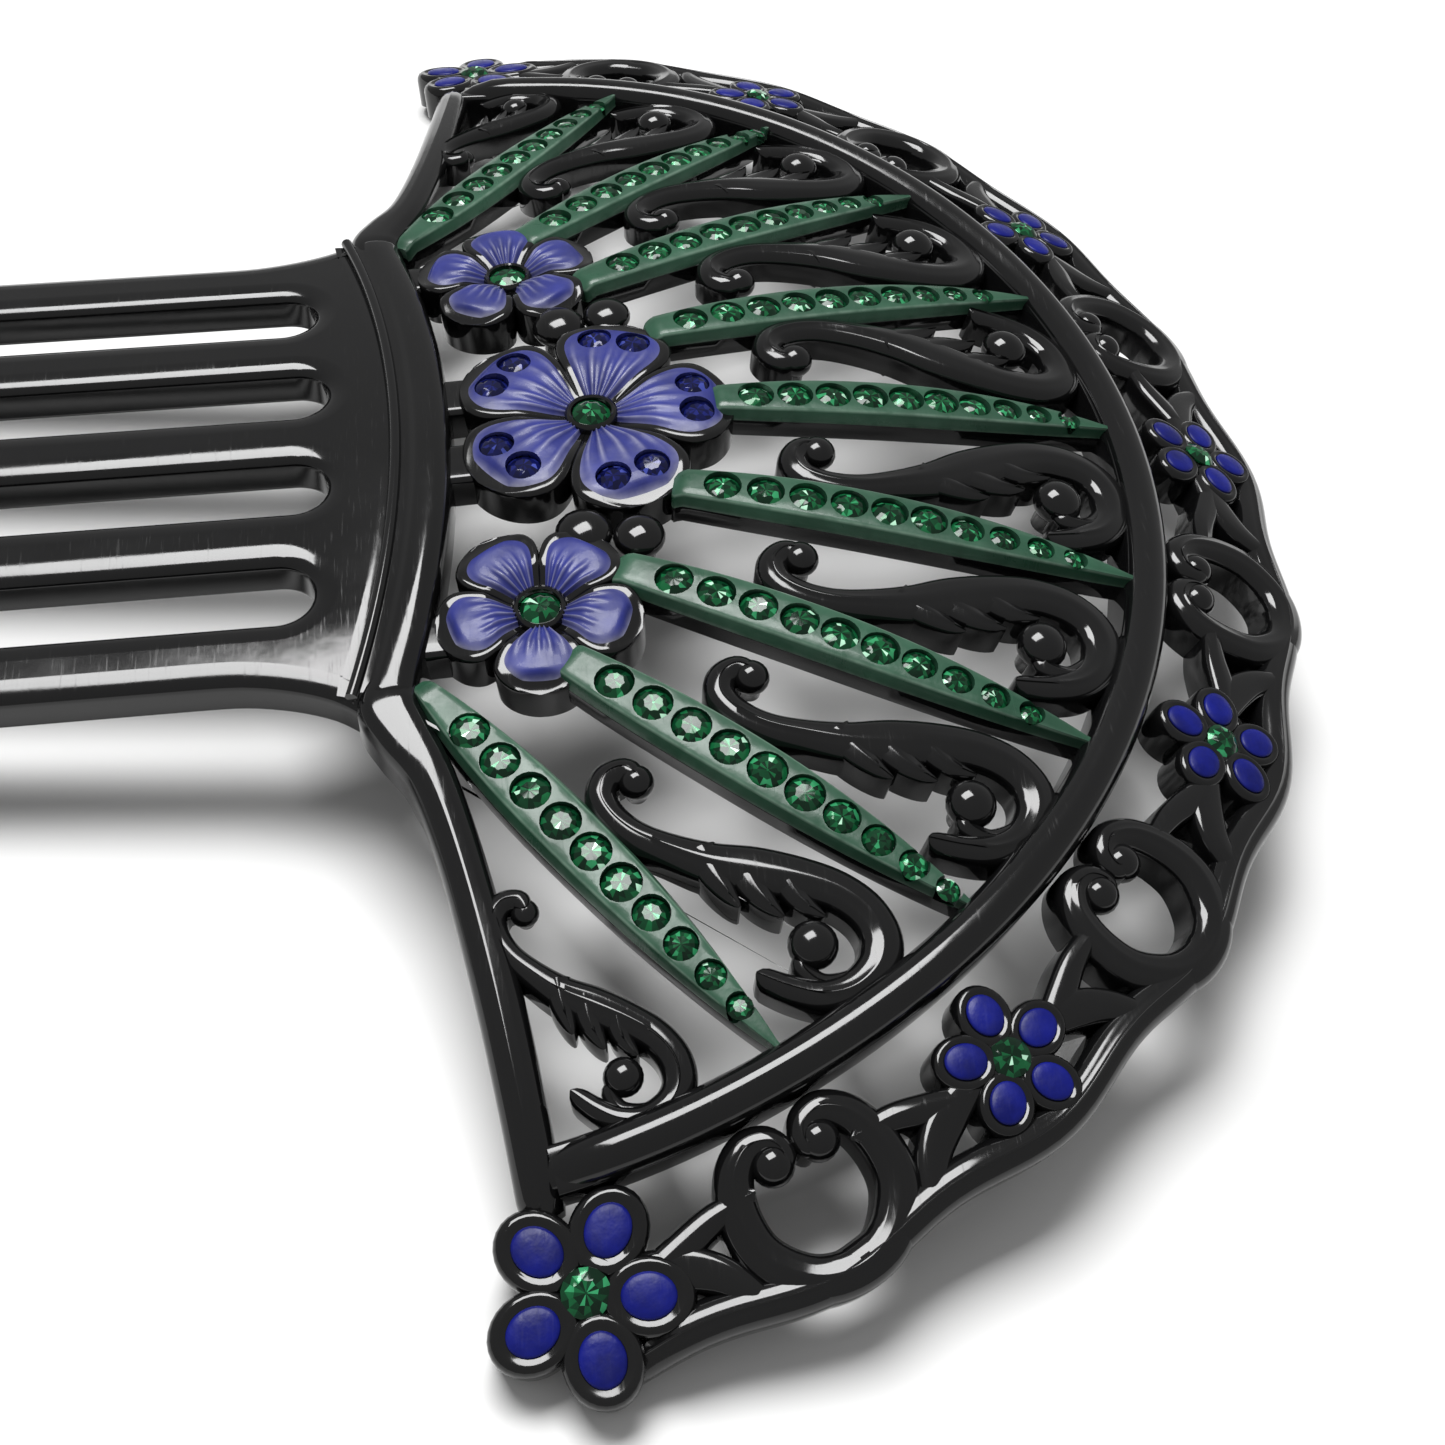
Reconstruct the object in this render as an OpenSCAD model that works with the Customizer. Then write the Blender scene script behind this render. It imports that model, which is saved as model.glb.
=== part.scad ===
// Decorative hair comb: a moulded fan on five teeth, enamelled and set with glass stones.
//
// Frame: millimetres, +Z up. The comb lies face up on a table at z = 0. X runs across the comb,
// Y runs from the tooth tips (-Y) to the top of the fan (+Y).
//
// Every region is drawn flat, in plan, and is then cut out of a bent sheet. The sheet is bent
// round an axis along the comb (bend_r) and, above the middle flower, over the fan (fan_r). The
// teeth are straight. The origin is under the middle of the comb's bounding box.

/* [Bend] */
// Radius that the whole comb is bent to, across its width
bend_r = 200; // [150:5:400]
// Radius that the fan is bent to, from the middle flower to its top
fan_r = 100; // [80:5:200]
// Tilt that brings the tooth tips and the two corner flowers onto the table
rest_tilt = 8.1; // [6:0.1:10]

/* [Teeth] */
// Width of one tooth
tooth_w = 4.8; // [3:0.1:6]
// Width of the gap between two teeth
gap_w = 5; // [4.2:0.1:6]
// Distance from the middle flower to the tooth tips
tip_y = 112; // [90:1:130]
// Angle between the teeth and the sheet at the middle flower
tooth_rise = 2.5; // [0:0.5:4]
// Thickness of the teeth and of the root plate
plate_t = 3; // [2.4:0.1:3.2]
// Distance from the middle flower to the ends of the two middle gaps
gap_end_y = 19.4; // [18:0.1:22]

/* [Collar] */
// Distance from the middle flower to the raised bead
bead_y = 14.6; // [13:0.1:16]
// Radius of the bead's arc
bead_r = 85; // [60:1:120]
// Width of the raised bead
bead_w = 0.9; // [0.6:0.1:1.4]
// Distance from the middle flower to the collar's fan edge
collar_y = 11; // [10:0.1:12]
// Height of the collar above the teeth
collar_h = 0.3; // [0.1:0.1:1]

/* [Fan] */
// Distance from the middle flower to the centre of the fan's arcs
fan_y = 17; // [14:0.5:20]
// Radius to the middle of the inner rib
rib_r = 55.7; // [54:0.1:57]
// Width of the inner rib
rib_w = 3; // [2:0.1:3.6]
// Height of the rib above the sheet
rib_h = 1; // [0.4:0.1:1.6]
// Radius to the middle of the border
border_r = 62.3; // [61.5:0.1:63]
// Radius to the outer edge, midway up its scallops
edge_r = 67.3; // [66:0.1:69]
// Depth of the scallops
scallop = 0.9; // [0:0.1:1.4]
// Width of the outer rim
rim_w = 2.6; // [1.8:0.1:3]
// Angle from one border motif to the next
motif_pitch = 13.8; // [13.5:0.1:14]

/* [Leaves] */
// Angle between two leaves
leaf_pitch = 13.6; // [13:0.05:14]
// Distance from the middle flower to the point that the leaves spread from
leaf_root_y = 30.5; // [28:0.1:33]
// Greatest width of a leaf
leaf_w = 4.2; // [3.6:0.1:5]
// Thickness of the enamel
enamel_t = 0.2; // [0.1:0.05:0.4]

/* [Stones] */
// Diameter of the larger leaf stones
stone_d = 2.5; // [2:0.1:2.8]
// Stones in each leaf
stones_per_leaf = 10; // [6:1:10]
// Diameter of the stones in the petals of the middle flower
petal_stone_d = 2.4; // [2:0.1:2.6]
// Diameter of the stone in the middle of each flower
centre_stone_d = 2.6; // [2:0.1:3]

/* [Flowers] */
// Radius of the middle flower
big_r = 10.2; // [9:0.1:10.5]
// Radius of the two side flowers
side_r = 6.9; // [6:0.1:7]
// Distance from the comb's middle line to the centre of a side flower
side_x = 17.9; // [17:0.1:19]
// Distance that the side flowers sit below the middle one
side_drop = 5.8; // [5:0.1:6.5]
// Height of the moulded flowers above the sheet, under their enamel
flower_h = 0; // [0:0.1:0.6]

/* [Hidden] */
$fn = 96;
gaps = 4;
half_w = 2.5 * tooth_w + 2 * gap_w;
gap_step = tooth_w + gap_w;
underside = -plate_t;
// Lifts the corner flowers and the tooth tips onto the table
lift = 15.55;
// Moves the middle of the bounding box over the origin
origin_y = 29.4;
// Middle flower and side flower, from the frame that the plan is drawn in
middle_at = [0, -0.8];
side_at = [side_x, -side_drop];
scroll_names = [for (i = [1:10]) str("scroll_", i)];
leaf_numbers = [1:9];

// ---- the bent sheet ----

round_fn = 720;

// Band between two heights above the fan's sheet, as its section along the comb
module fan_section(low, high) {
    flat_length = 30;
    translate([bend_r + low, -flat_length]) square([high - low, flat_length]);
    translate([bend_r - fan_r, 0]) intersection() {
        difference() {
            circle(r = fan_r + high, $fn = round_fn);
            circle(r = fan_r + low, $fn = round_fn);
        }
        translate([fan_r / 2, 0]) square([fan_r, 65]);
    }
}

// The same for the root plate and the teeth, which rise from the collar
module teeth_section(low, high) {
    length = tip_y + 5;
    translate([bend_r, -bead_y]) rotate(tooth_rise) translate([low, 5 - length])
        square([high - low, length]);
}

// A section swept round the comb's bend
module bent() {
    spread = 46;
    translate([0, 0, -bend_r]) rotate([-90, 0, 0]) rotate([0, 0, -90 - spread / 2])
        rotate_extrude(angle = spread, $fn = round_fn) children();
}

module plan_block() translate([0, 0, -40]) linear_extrude(60) children();

// A flat outline cut out of the fan's sheet and laid on the table
module formed(low, high) {
    placed() intersection() {
        bent() fan_section(low, high);
        plan_block() children();
    }
}

// A flat outline cut out of the teeth's sheet and laid on the table
module formed_tooth() {
    placed() intersection() {
        bent() teeth_section(underside, 0);
        plan_block() children();
    }
}

module placed() {
    translate([0, origin_y, lift]) rotate([rest_tilt, 0, 0]) children();
}

// Drop of the fan below the middle flower, and the slope there, at a distance y up the comb
function slope_at(y) = y > 0 ? asin(y / fan_r) : 0;
function drop_at(y) = y > 0 ? fan_r - sqrt(fan_r * fan_r - y * y) : 0;

// Stands its children on the sheet at a point of the plan, square to the sheet
module on_sheet(p) {
    r = bend_r - drop_at(p.y);
    translate([0, 0, -bend_r]) rotate([0, asin(p.x / r), 0])
        translate([0, p.y, r]) rotate([-slope_at(p.y), 0, 0]) children();
}

// ---- helpers for outlines ----

function turn(p, a) = [p.x * cos(a) + p.y * sin(a), p.y * cos(a) - p.x * sin(a)];
function mirrored(p, side) = [p.x * side, p.y];
// Point at a radius and an angle from the comb's middle line, measured from a centre at -cy
function spread_from(cy, r, a) = [r * sin(a), r * cos(a) - cy];

// Smooth curve through points, with steps points to each span
function curve_point(a, b, c, d, t) =
    0.5 * (2 * b + (c - a) * t + (2 * a - 5 * b + 4 * c - d) * t * t
        + (3 * b - a - 3 * c + d) * t * t * t);
function curve(p, steps) = [
    for (i = [0:len(p) - 2], s = [0:steps - 1])
        curve_point(p[max(i - 1, 0)], p[i], p[i + 1], p[min(i + 2, len(p) - 1)], s / steps),
    p[len(p) - 1]];

// Closed outline of a band along a path. Each point of the path is [x, y, width].
function direction(p, i) =
    let (d = p[min(i + 1, len(p) - 1)] - p[max(i - 1, 0)]) [d.x, d.y] / norm([d.x, d.y]);
function band_side(p, i, side) =
    let (d = direction(p, i)) [p[i].x - side * d.y * p[i].z / 2, p[i].y + side * d.x * p[i].z / 2];
function band_outline(p) = concat(
    [for (i = [0:len(p) - 1]) band_side(p, i, 1)],
    [for (i = [len(p) - 1:-1:0]) band_side(p, i, -1)]);

module band(p, steps = 3) polygon(band_outline(curve(p, steps)));

// ---- teeth, root and collar ----

function gap_x(i) = (i - (gaps + 1) / 2) * gap_step;
function bead_edge(x, y0) = -y0 - bead_r + sqrt(bead_r * bead_r - x * x);
// The outer gaps end a little lower than the middle ones
outer_gap_drop = 1;
function gap_end(i) = -gap_end_y - (abs(gap_x(i)) > gap_step ? outer_gap_drop : 0);
tooth_top = -26;
// The teeth narrow over this length, to rounded tips
taper = 26;
tip_half_w = tooth_w * 0.3;

module tooth_flat(i) translate([(i - 3) * gap_step, 0]) polygon([
    [-tooth_w / 2, tooth_top], [tooth_w / 2, tooth_top], [tooth_w / 2, taper - tip_y],
    for (a = [0:10:180]) [tip_half_w * cos(a), tip_half_w * (1 - sin(a)) - tip_y],
    [-tooth_w / 2, taper - tip_y]]);

module tooth(i) color("#151517") formed_tooth() tooth_flat(i);

// Half of the root plate's side, from the teeth to the rail
function root_side() = curve([[half_w, tooth_top], [half_w + 0.1, -25], [half_w + 0.7, -22],
    [half_w + 1.7, -19.4], [half_w + 3, -17.6]], 4);

module root_flat() {
    side = root_side();
    last = side[len(side) - 1];
    difference() {
        polygon(concat(side, [for (x = [24:-4:-24]) [x, bead_edge(x, bead_y)]],
            [for (i = [len(side) - 1:-1:0]) mirrored(side[i], -1)]));
        for (i = [1:gaps]) {
            translate([gap_x(i), gap_end(i) - gap_w / 2]) circle(d = gap_w);
            translate([gap_x(i) - gap_w / 2, tooth_top - 1])
                square([gap_w, gap_end(i) - gap_w / 2 - tooth_top + 1]);
        }
    }
}

module tooth_root() color("#151517") formed_tooth() root_flat();

module arc_band(y0, w, half) {
    n = 12;
    polygon(concat(
        [for (i = [-n:n]) [half * i / n, bead_edge(half * i / n, y0) - w / 2]],
        [for (i = [n:-1:-n]) [half * i / n, bead_edge(half * i / n, y0) + w / 2]]));
}

bead_h = 0.4;

module collar_bead() color("#1b1b1e") formed(collar_h, collar_h + bead_h)
    arc_band(bead_y - bead_w / 2, bead_w, 23.5);

collar_half = 24;
collar_fan_half = 23;
// Webs that tie the collar to the flowers: [across, down, radius]
webs = [[3.6, 10, 1.9], [19.2, 12.4, 1.7]];

module collar_flat() {
    n = 12;
    polygon(concat(
        [for (i = [-n:n]) [collar_half * i / n, bead_edge(collar_half * i / n, bead_y)]],
        [for (i = [n:-1:-n]) [collar_fan_half * i / n,
            bead_edge(collar_fan_half * i / n, collar_y - 0.2)]]));
    for (s = [-1, 1], w = webs) translate([s * w.x, -w.y]) circle(r = w.z);
}

module collar() color("#151517") formed(underside, collar_h) difference() {
    collar_flat();
    middle_outline();
    for (s = [-1, 1]) side_outline(s);
}

// ---- side rails and inner rib ----

rail_path = [[23.6, -15.6, 4.4], [26.4, -14.8, 3.6], [30, -13.4, 2.9], [36, -12, 2.9],
    [44, -10.6, 2.9], [52, -9.6, 2.7], [57.4, -9, 2.7]];

module rail_flat(s) difference() {
    scale([s, 1]) band(rail_path, 4);
    collar_flat();
    root_flat();
    corner_outline(s);
}

rail_h = 0.4;

module rail(s) color("#151517") formed(underside, rail_h) rail_flat(s);

module ring(cy, r, w) translate([0, -cy]) difference() {
    circle(r = r + w / 2, $fn = 240);
    circle(r = r - w / 2, $fn = 240);
}

module rib_flat() difference() {
    intersection() {
        ring(fan_y, rib_r, rib_w);
        translate([-70, -20]) square([140, 70]);
    }
    for (s = [-1, 1]) {
        scale([s, 1]) band(rail_path, 4);
        polygon([[0, -40], [s * 70, -40], [s * 70, -9.4], [0, -9.4]]);
    }
}

module inner_rib() color("#151517") formed(underside, rib_h) rib_flat();

// ---- leaves ----

function leaf_angle(i) = (i - 5) * leaf_pitch;
// Distance from the leaves' root to the rib's inner edge, along a leaf
function rib_reach(a) =
    let (off = leaf_root_y - fan_y, inner = rib_r - rib_w / 2)
    off * cos(a) + sqrt(pow(off * cos(a), 2) + inner * inner - off * off);
// Where each leaf starts, by its distance from the middle leaf
leaf_start = [38, 35.5, 33.5, 34, 28.4];
first_stone = [41.5, 39, 37.8, 38.2, 33.7];
function leaf_from(i) = leaf_start[abs(i - 5)];
function leaf_to(i) = rib_reach(leaf_angle(i)) + 0.7;

// Half width of a leaf, pointed at both ends and widest nearer the flowers
function leaf_half(t, w) = t < 0.4
    ? w / 2 * pow(1 - pow(1 - t / 0.4, 2.4), 0.6)
    : w / 2 * pow(1 - pow((t - 0.4) / 0.6, 2.2), 0.9);

module leaf_outline(i, w, trim = 0) {
    n = 16;
    from = leaf_from(i) + trim;
    len = leaf_to(i) - trim - from;
    translate([0, -leaf_root_y]) rotate(-leaf_angle(i)) polygon(concat(
        [for (k = [0:n]) [leaf_half(k / n, w), from + len * k / n]],
        [for (k = [n - 1:-1:1]) [-leaf_half(k / n, w), from + len * k / n]]));
}

module over_leaves() {
    ring(fan_y, rib_r, rib_w);
    middle_outline();
    for (s = [-1, 1]) {
        side_outline(s);
        bead_outline(s);
        scale([s, 1]) band(rail_path, 4);
    }
    collar_flat();
}

function stone_size(j) = stone_d * (j < 6 ? 1 : 1 - 0.09 * (j - 5));
function stone_step(j) = 2.95 - 0.06 * j;
function stone_reach(i, j) = j == 0 ? first_stone[abs(i - 5)]
    : stone_reach(i, j - 1) + stone_step(j - 1) * (i == 5 ? 0.96 : 1);
function stone_point(i, j) = spread_from(leaf_root_y, stone_reach(i, j), leaf_angle(i));

leaf_top = 0.2;
leaf_under = underside + 0.4;
socket_depth = 1.2;
// Height of a stone's back above the bottom of its socket
seat = 0.1;

module leaf_sockets(i) for (j = [0:stones_per_leaf - 1])
    on_sheet(stone_point(i, j)) translate([0, 0, leaf_top - socket_depth])
        cylinder(d = stone_size(j), h = socket_depth + 2);

module leaf(i) color("#17181a") difference() {
    formed(leaf_under, leaf_top) difference() {
        leaf_outline(i, leaf_w);
        over_leaves();
    }
    placed() leaf_sockets(i);
}

module leaf_enamel() color("#2f6b4f") difference() {
    formed(leaf_top, leaf_top + enamel_t) difference() {
        for (i = leaf_numbers) leaf_outline(i, leaf_w - 0.4, 0.5);
        over_leaves();
    }
    placed() for (i = leaf_numbers) leaf_sockets(i);
}

// ---- stones ----

// A cut stone: a flat table, a crown, a girdle and a pointed back
module stone(d) {
    back = 0.55;
    girdle = 0.3;
    crown = 0.3;
    rotate_extrude() polygon([[0, 0], [d / 2, back], [d / 2, back + girdle],
        [d * 0.3, back + girdle + crown], [0, back + girdle + crown]]);
}

module leaf_stone_set(first, last) color("#1d8a4a") placed()
    for (i = [first:last], j = [0:stones_per_leaf - 1])
        on_sheet(stone_point(i, j)) translate([0, 0, leaf_top - socket_depth + seat])
            stone(stone_size(j));

// ---- flowers ----

// A rounded petal, pointing up, out to radius r
module petal(r, w) translate([0, r - w / 2]) {
    circle(d = w);
    polygon([[-w * 0.47, -w * 0.17], [w * 0.47, -w * 0.17], [w * 0.1, w / 2 - r],
        [-w * 0.1, w / 2 - r]]);
}

module five_petals(r, w, start = 0) for (k = [0:4]) rotate(-start - 72 * k) petal(r, w);

module middle_outline() translate(middle_at) {
    five_petals(big_r, 9.4);
    circle(r = 4);
}

side_turn = 22;

module side_outline(s) translate([s * side_at.x, side_at.y]) scale([s, 1]) {
    five_petals(side_r, 6.5, side_turn);
    circle(r = 2.6);
}

module side_petals(s) translate([s * side_at.x, side_at.y]) scale([s, 1]) difference() {
    five_petals(side_r - 0.7, 4.8, side_turn);
    circle(r = 1.8);
}

function petal_stone_point(k, side) = middle_at + turn([side * 1.45, 7.4], 72 * k);

module petal_sockets() for (k = [0:4], side = [-1, 1])
    on_sheet(petal_stone_point(k, side)) translate([0, 0, flower_h - socket_depth])
        cylinder(d = petal_stone_d, h = socket_depth + 2);

module centre_socket(p) on_sheet(p) translate([0, 0, flower_h - socket_depth])
    cylinder(d = centre_stone_d, h = socket_depth + 2);

module middle_flower() color("#151517") difference() {
    formed(underside, flower_h) middle_outline();
    placed() {
        petal_sockets();
        centre_socket(middle_at);
    }
}

module middle_flower_enamel() color("#4a52a8") difference() {
    formed(flower_h, flower_h + enamel_t) translate(middle_at) difference() {
        five_petals(big_r - 0.8, 7.4);
        circle(r = 2.4);
    }
    placed() petal_sockets();
}

module side_flower(s) color("#151517") difference() {
    formed(underside, flower_h) difference() {
        side_outline(s);
        middle_outline();
        bead_outline(s);
    }
    placed() centre_socket(mirrored(side_at, s));
}

module side_flower_enamel() color("#4a52a8") formed(flower_h, flower_h + enamel_t)
    for (s = [-1, 1]) difference() {
        side_petals(s);
        bead_outline(s);
    }

module petal_stones() color("#1b2496") placed() for (k = [0:4], side = [-1, 1])
    on_sheet(petal_stone_point(k, side)) translate([0, 0, flower_h - socket_depth + seat])
        stone(petal_stone_d);

module flower_centre_stones() color("#1d8a4a") placed() for (s = [-1, 0, 1])
    on_sheet(s == 0 ? middle_at : mirrored(side_at, s))
        translate([0, 0, flower_h - socket_depth + seat]) stone(centre_stone_d);

// ---- ball beads between the flowers ----

// Across, up and radius of each bead on one side
bead_at = [[11.5, -2.3, 2], [12.3, 1.4, 1.8]];
// The beads stand on a foot that ties them to the flowers
bead_foot = 0.9;
foot_top = -0.8;

module bead_outline(s) for (b = bead_at) translate([s * b.x, b.y]) circle(r = b.z);

module ball_beads() color("#1b1b1e") {
    formed(underside, foot_top) difference() {
        for (s = [-1, 1], b = bead_at) translate([s * b.x, b.y]) circle(r = b.z + bead_foot);
        middle_outline();
        for (s = [-1, 1]) side_outline(s);
        for (i = leaf_numbers) leaf_outline(i, leaf_w);
    }
    placed() for (s = [-1, 1], b = bead_at) on_sheet([s * b.x, b.y]) {
        translate([0, 0, foot_top]) cylinder(r = b.z, h = -foot_top);
        intersection() {
            sphere(r = b.z);
            cylinder(r = b.z, h = b.z);
        }
    }
}

// ---- scrolls between the leaves ----

// Middle line and width of a scroll: [along, across, width], from its hook to its stem
scroll_path = [[1.3, -0.9, 1.5], [0.2, -0.6, 1.5], [-0.1, 0.6, 1.5], [0.6, 1.8, 1.6],
    [2.1, 2.4, 1.7], [4, 2.4, 1.8], [6.1, 1.8, 2.1], [8.6, 0.8, 3], [10.9, -0.6, 3.8],
    [13.2, -2, 3.4], [15.4, -3, 2.8], [17.5, -3.2, 2.6], [19.2, -2.5, 2.4], [20.1, -1, 2.3],
    [20, 1, 2.1], [19, 2.6, 1.9], [17.3, 3.7, 1.7], [15.2, 4.5, 1.5]];
// Angle, start and size of the scrolls on one side, from the rail to the middle leaf
scroll_sets = [[61.5, 44.2, 0.77], [47.8, 41.9, 1], [34.1, 43.6, 1.06], [20.5, 43.4, 1.12],
    [7.2, 43.8, 1.15]];
scroll_ball = [16.9, 1.2, 1.45];
scroll_hook_ball = [1.3, -0.7, 1];

module scroll_flat(n) {
    s = n <= 5 ? -1 : 1;
    set = scroll_sets[n <= 5 ? n - 1 : 10 - n];
    difference() {
        scale([s, 1]) translate([0, -leaf_root_y]) rotate(-set[0]) translate([0, set[1]])
            scale(set[2]) union() {
                polygon([for (p = band_outline(curve(scroll_path, 3))) [p.y, p.x]]);
                translate([scroll_ball.y, scroll_ball.x]) circle(r = scroll_ball.z);
                translate([scroll_hook_ball.y, scroll_hook_ball.x]) circle(r = scroll_hook_ball.z);
            }
        over_leaves();
        for (i = leaf_numbers) leaf_outline(i, leaf_w);
    }
}

module scroll(n) color("#1b1b1e") formed(underside + 0.2, 0) scroll_flat(n);

// ---- border ----

function motif(r, a) = spread_from(fan_y, r, a);
function edge_at(a) = edge_r + scallop / 2 * cos(360 * a / motif_pitch);
corner_angle = 6 * motif_pitch - 1.9;
function flower_angle(i) = abs(i - 4) == 3 ? sign(i - 4) * corner_angle : (i - 4) * 2 * motif_pitch;
function loop_angle(i) = (flower_angle(i) + flower_angle(i + 1)) / 2;
// How far each border flower is turned, from the top one to the corner
flower_turn = [0, 36, -23, 0];
corner_scale = 1.2;
petal_oval = 1.3;
petal_reach = 2.8;
function border_scale(i) = abs(i - 4) == 3 ? corner_scale : 1;

module at_motif(r, a) translate(motif(r, a)) rotate(-a) children();

module border_petals(i, grow) {
    size = border_scale(i);
    s = sign(i - 4);
    at_motif(border_r, flower_angle(i)) for (k = [0:4])
        rotate(-(s == 0 ? 1 : s) * flower_turn[abs(i - 4)] - 72 * k)
            translate([0, petal_reach * size]) circle(r = petal_oval * size + grow);
}

module border_flower_outline(i) {
    border_petals(i, 0.5);
    at_motif(border_r, flower_angle(i)) circle(r = 2.6 * border_scale(i));
}

module corner_outline(s) border_flower_outline(s < 0 ? 1 : 7);

border_top = 0.2;

module border_flower(i) color("#151517") difference() {
    formed(underside, border_top) difference() {
        border_flower_outline(i);
        ring(fan_y, rib_r, rib_w);
    }
    placed() on_sheet(motif(border_r, flower_angle(i)))
        translate([0, 0, border_top - socket_depth])
            cylinder(d = centre_stone_d, h = socket_depth + 2);
}

module border_enamel() color("#232a8c") formed(border_top, border_top + enamel_t)
    for (i = [1:7]) difference() {
        border_petals(i, 0);
        ring(fan_y, rib_r, rib_w);
    }

module border_stones() color("#1d8a4a") placed() for (i = [1:7])
    on_sheet(motif(border_r, flower_angle(i)))
        translate([0, 0, border_top - socket_depth + seat]) stone(centre_stone_d);

module rim_flat() {
    last = 78;
    difference() {
        polygon(concat(
            [for (a = [-last:1.3:last]) motif(edge_at(a), a)],
            [for (a = [last:-2.6:-last]) motif(edge_at(a) - rim_w, a)]));
        for (i = [1:7]) border_flower_outline(i);
        for (i = [1:6]) loop_hole(i);
    }
}

module outer_rim() color("#151517") formed(underside, 0) rim_flat();

loop_r = 5.5;
loop_hole_r = 3.1;
// The hole sits a little nearer the rim than the loop does
hole_shift = 0.5;
// Two curls inside each loop: across, in, radius
curl = [1.35, 2.9, 1.35];

module loop_hole(i) at_motif(border_r + hole_shift, loop_angle(i)) circle(r = loop_hole_r);

// Stem from a border flower out to the rim, beside a loop
stem_path = [[-0.6, 2.6, 1.5], [0.2, 6, 1.8], [1.4, 7.8, 1.6], [3.4, 9, 1.2]];

module stem(i, s) at_motif(border_r, flower_angle(i)) scale([s, 1])
    polygon([for (p = band_outline(curve(stem_path, 3))) [p.y, p.x]]);

module loop_flat(i) difference() {
    union() {
        difference() {
            at_motif(border_r + 0.3, loop_angle(i)) circle(r = loop_r);
            loop_hole(i);
        }
        at_motif(border_r, loop_angle(i)) for (s = [-1, 1])
            translate([s * curl.x, -curl.y]) circle(r = curl.z);
        stem(i, 1);
        stem(i + 1, -1);
    }
    ring(fan_y, rib_r, rib_w);
    rim_flat();
    for (k = [1:7]) border_flower_outline(k);
}

module loop(i) color("#1b1b1e") formed(underside, -0.1) loop_flat(i);

// ---- nodes ----

for (i = [1:5]) tooth(i);
tooth_root();
collar_bead();
collar();
rail(-1);  // rail_left
rail(1);  // rail_right
inner_rib();
for (i = leaf_numbers) leaf(i);
leaf_enamel();
middle_flower();
middle_flower_enamel();
side_flower(-1);  // side_flower_left
side_flower(1);  // side_flower_right
side_flower_enamel();
ball_beads();
for (i = [1:10]) scroll(i);
outer_rim();
for (i = [1:6]) loop(i);
for (i = [1:7]) border_flower(i);
border_enamel();
leaf_stone_set(1, 3);  // leaf_stones_left
leaf_stone_set(4, 6);  // leaf_stones_middle
leaf_stone_set(7, 9);  // leaf_stones_right
petal_stones();
flower_centre_stones();
border_stones();
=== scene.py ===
# %% [markdown]
# # A moulded hair comb with enamel and glass stones
#
# The real comb is one arched moulding of black celluloid. Its fan is pierced, carved and rounded over,
# its leaves and flowers are enamelled, and small faceted stones are pressed into drilled sockets.
# This notebook models it flat, in plan, and then bends every point onto the arched sheet. Drawing flat is
# how such a comb was designed, and one bending function keeps all the pieces on the same surface.

# %% The frame
import math

import bmesh
import bpy
import numpy as np
from mathutils import Matrix, Vector


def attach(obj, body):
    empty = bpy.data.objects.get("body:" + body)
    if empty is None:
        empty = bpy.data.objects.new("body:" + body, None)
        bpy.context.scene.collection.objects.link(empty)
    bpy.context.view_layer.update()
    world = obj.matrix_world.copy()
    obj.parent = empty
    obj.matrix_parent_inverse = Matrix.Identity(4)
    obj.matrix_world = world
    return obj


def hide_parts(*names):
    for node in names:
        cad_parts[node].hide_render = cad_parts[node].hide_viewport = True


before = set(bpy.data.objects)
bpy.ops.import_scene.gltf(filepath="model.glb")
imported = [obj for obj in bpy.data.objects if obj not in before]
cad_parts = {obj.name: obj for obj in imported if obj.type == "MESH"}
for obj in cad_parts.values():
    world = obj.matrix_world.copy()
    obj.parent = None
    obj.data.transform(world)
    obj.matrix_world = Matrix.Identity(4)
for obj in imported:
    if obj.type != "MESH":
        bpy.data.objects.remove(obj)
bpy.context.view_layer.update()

# %% [markdown]
# ## The bent sheet
#
# The comb curves round the head across its width, and the fan also curves back towards its top. A point of
# the plan is (x across, y up the comb, h above the sheet), all in millimetres from the middle flower. It is
# carried to the sheet first, then the whole comb is tipped until the tooth tips and the two corner flowers
# rest on the table. The bends and the tip are the same as the CAD model's.

# %% Bending a plan point onto the sheet
BEND_R = 200.0
FAN_R = 100.0
TOOTH_RISE = math.radians(2.5)
REST_TILT = math.radians(8.1)
LIFT = 15.55
ORIGIN_Y = 29.4
BEAD_Y = 14.6
UNDERSIDE = -3.0
MM = 0.001


def sheet_point(x, y):
    """Base point and normal of the sheet over a plan point, before the comb is tipped."""
    up = np.clip(y, 0, None)
    down = np.clip(-BEAD_Y - y, 0, None)
    r = BEND_R - FAN_R + np.sqrt(FAN_R**2 - up**2) + down * math.tan(TOOTH_RISE)
    slope = np.arcsin(up / FAN_R) + np.where(down > 0, TOOTH_RISE, 0.0)
    phi = np.arcsin(x / r)
    base = np.stack([r * np.sin(phi), y, r * np.cos(phi) - BEND_R], -1)
    normal = np.stack([np.cos(slope) * np.sin(phi), np.sin(slope), np.cos(slope) * np.cos(phi)], -1)
    return base, normal


def tip_over(v):
    """Turns a vector with the comb, from its own frame to the table's."""
    c, s = math.cos(REST_TILT), math.sin(REST_TILT)
    return np.stack([v[..., 0], v[..., 1] * c - v[..., 2] * s, v[..., 1] * s + v[..., 2] * c], -1)


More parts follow.
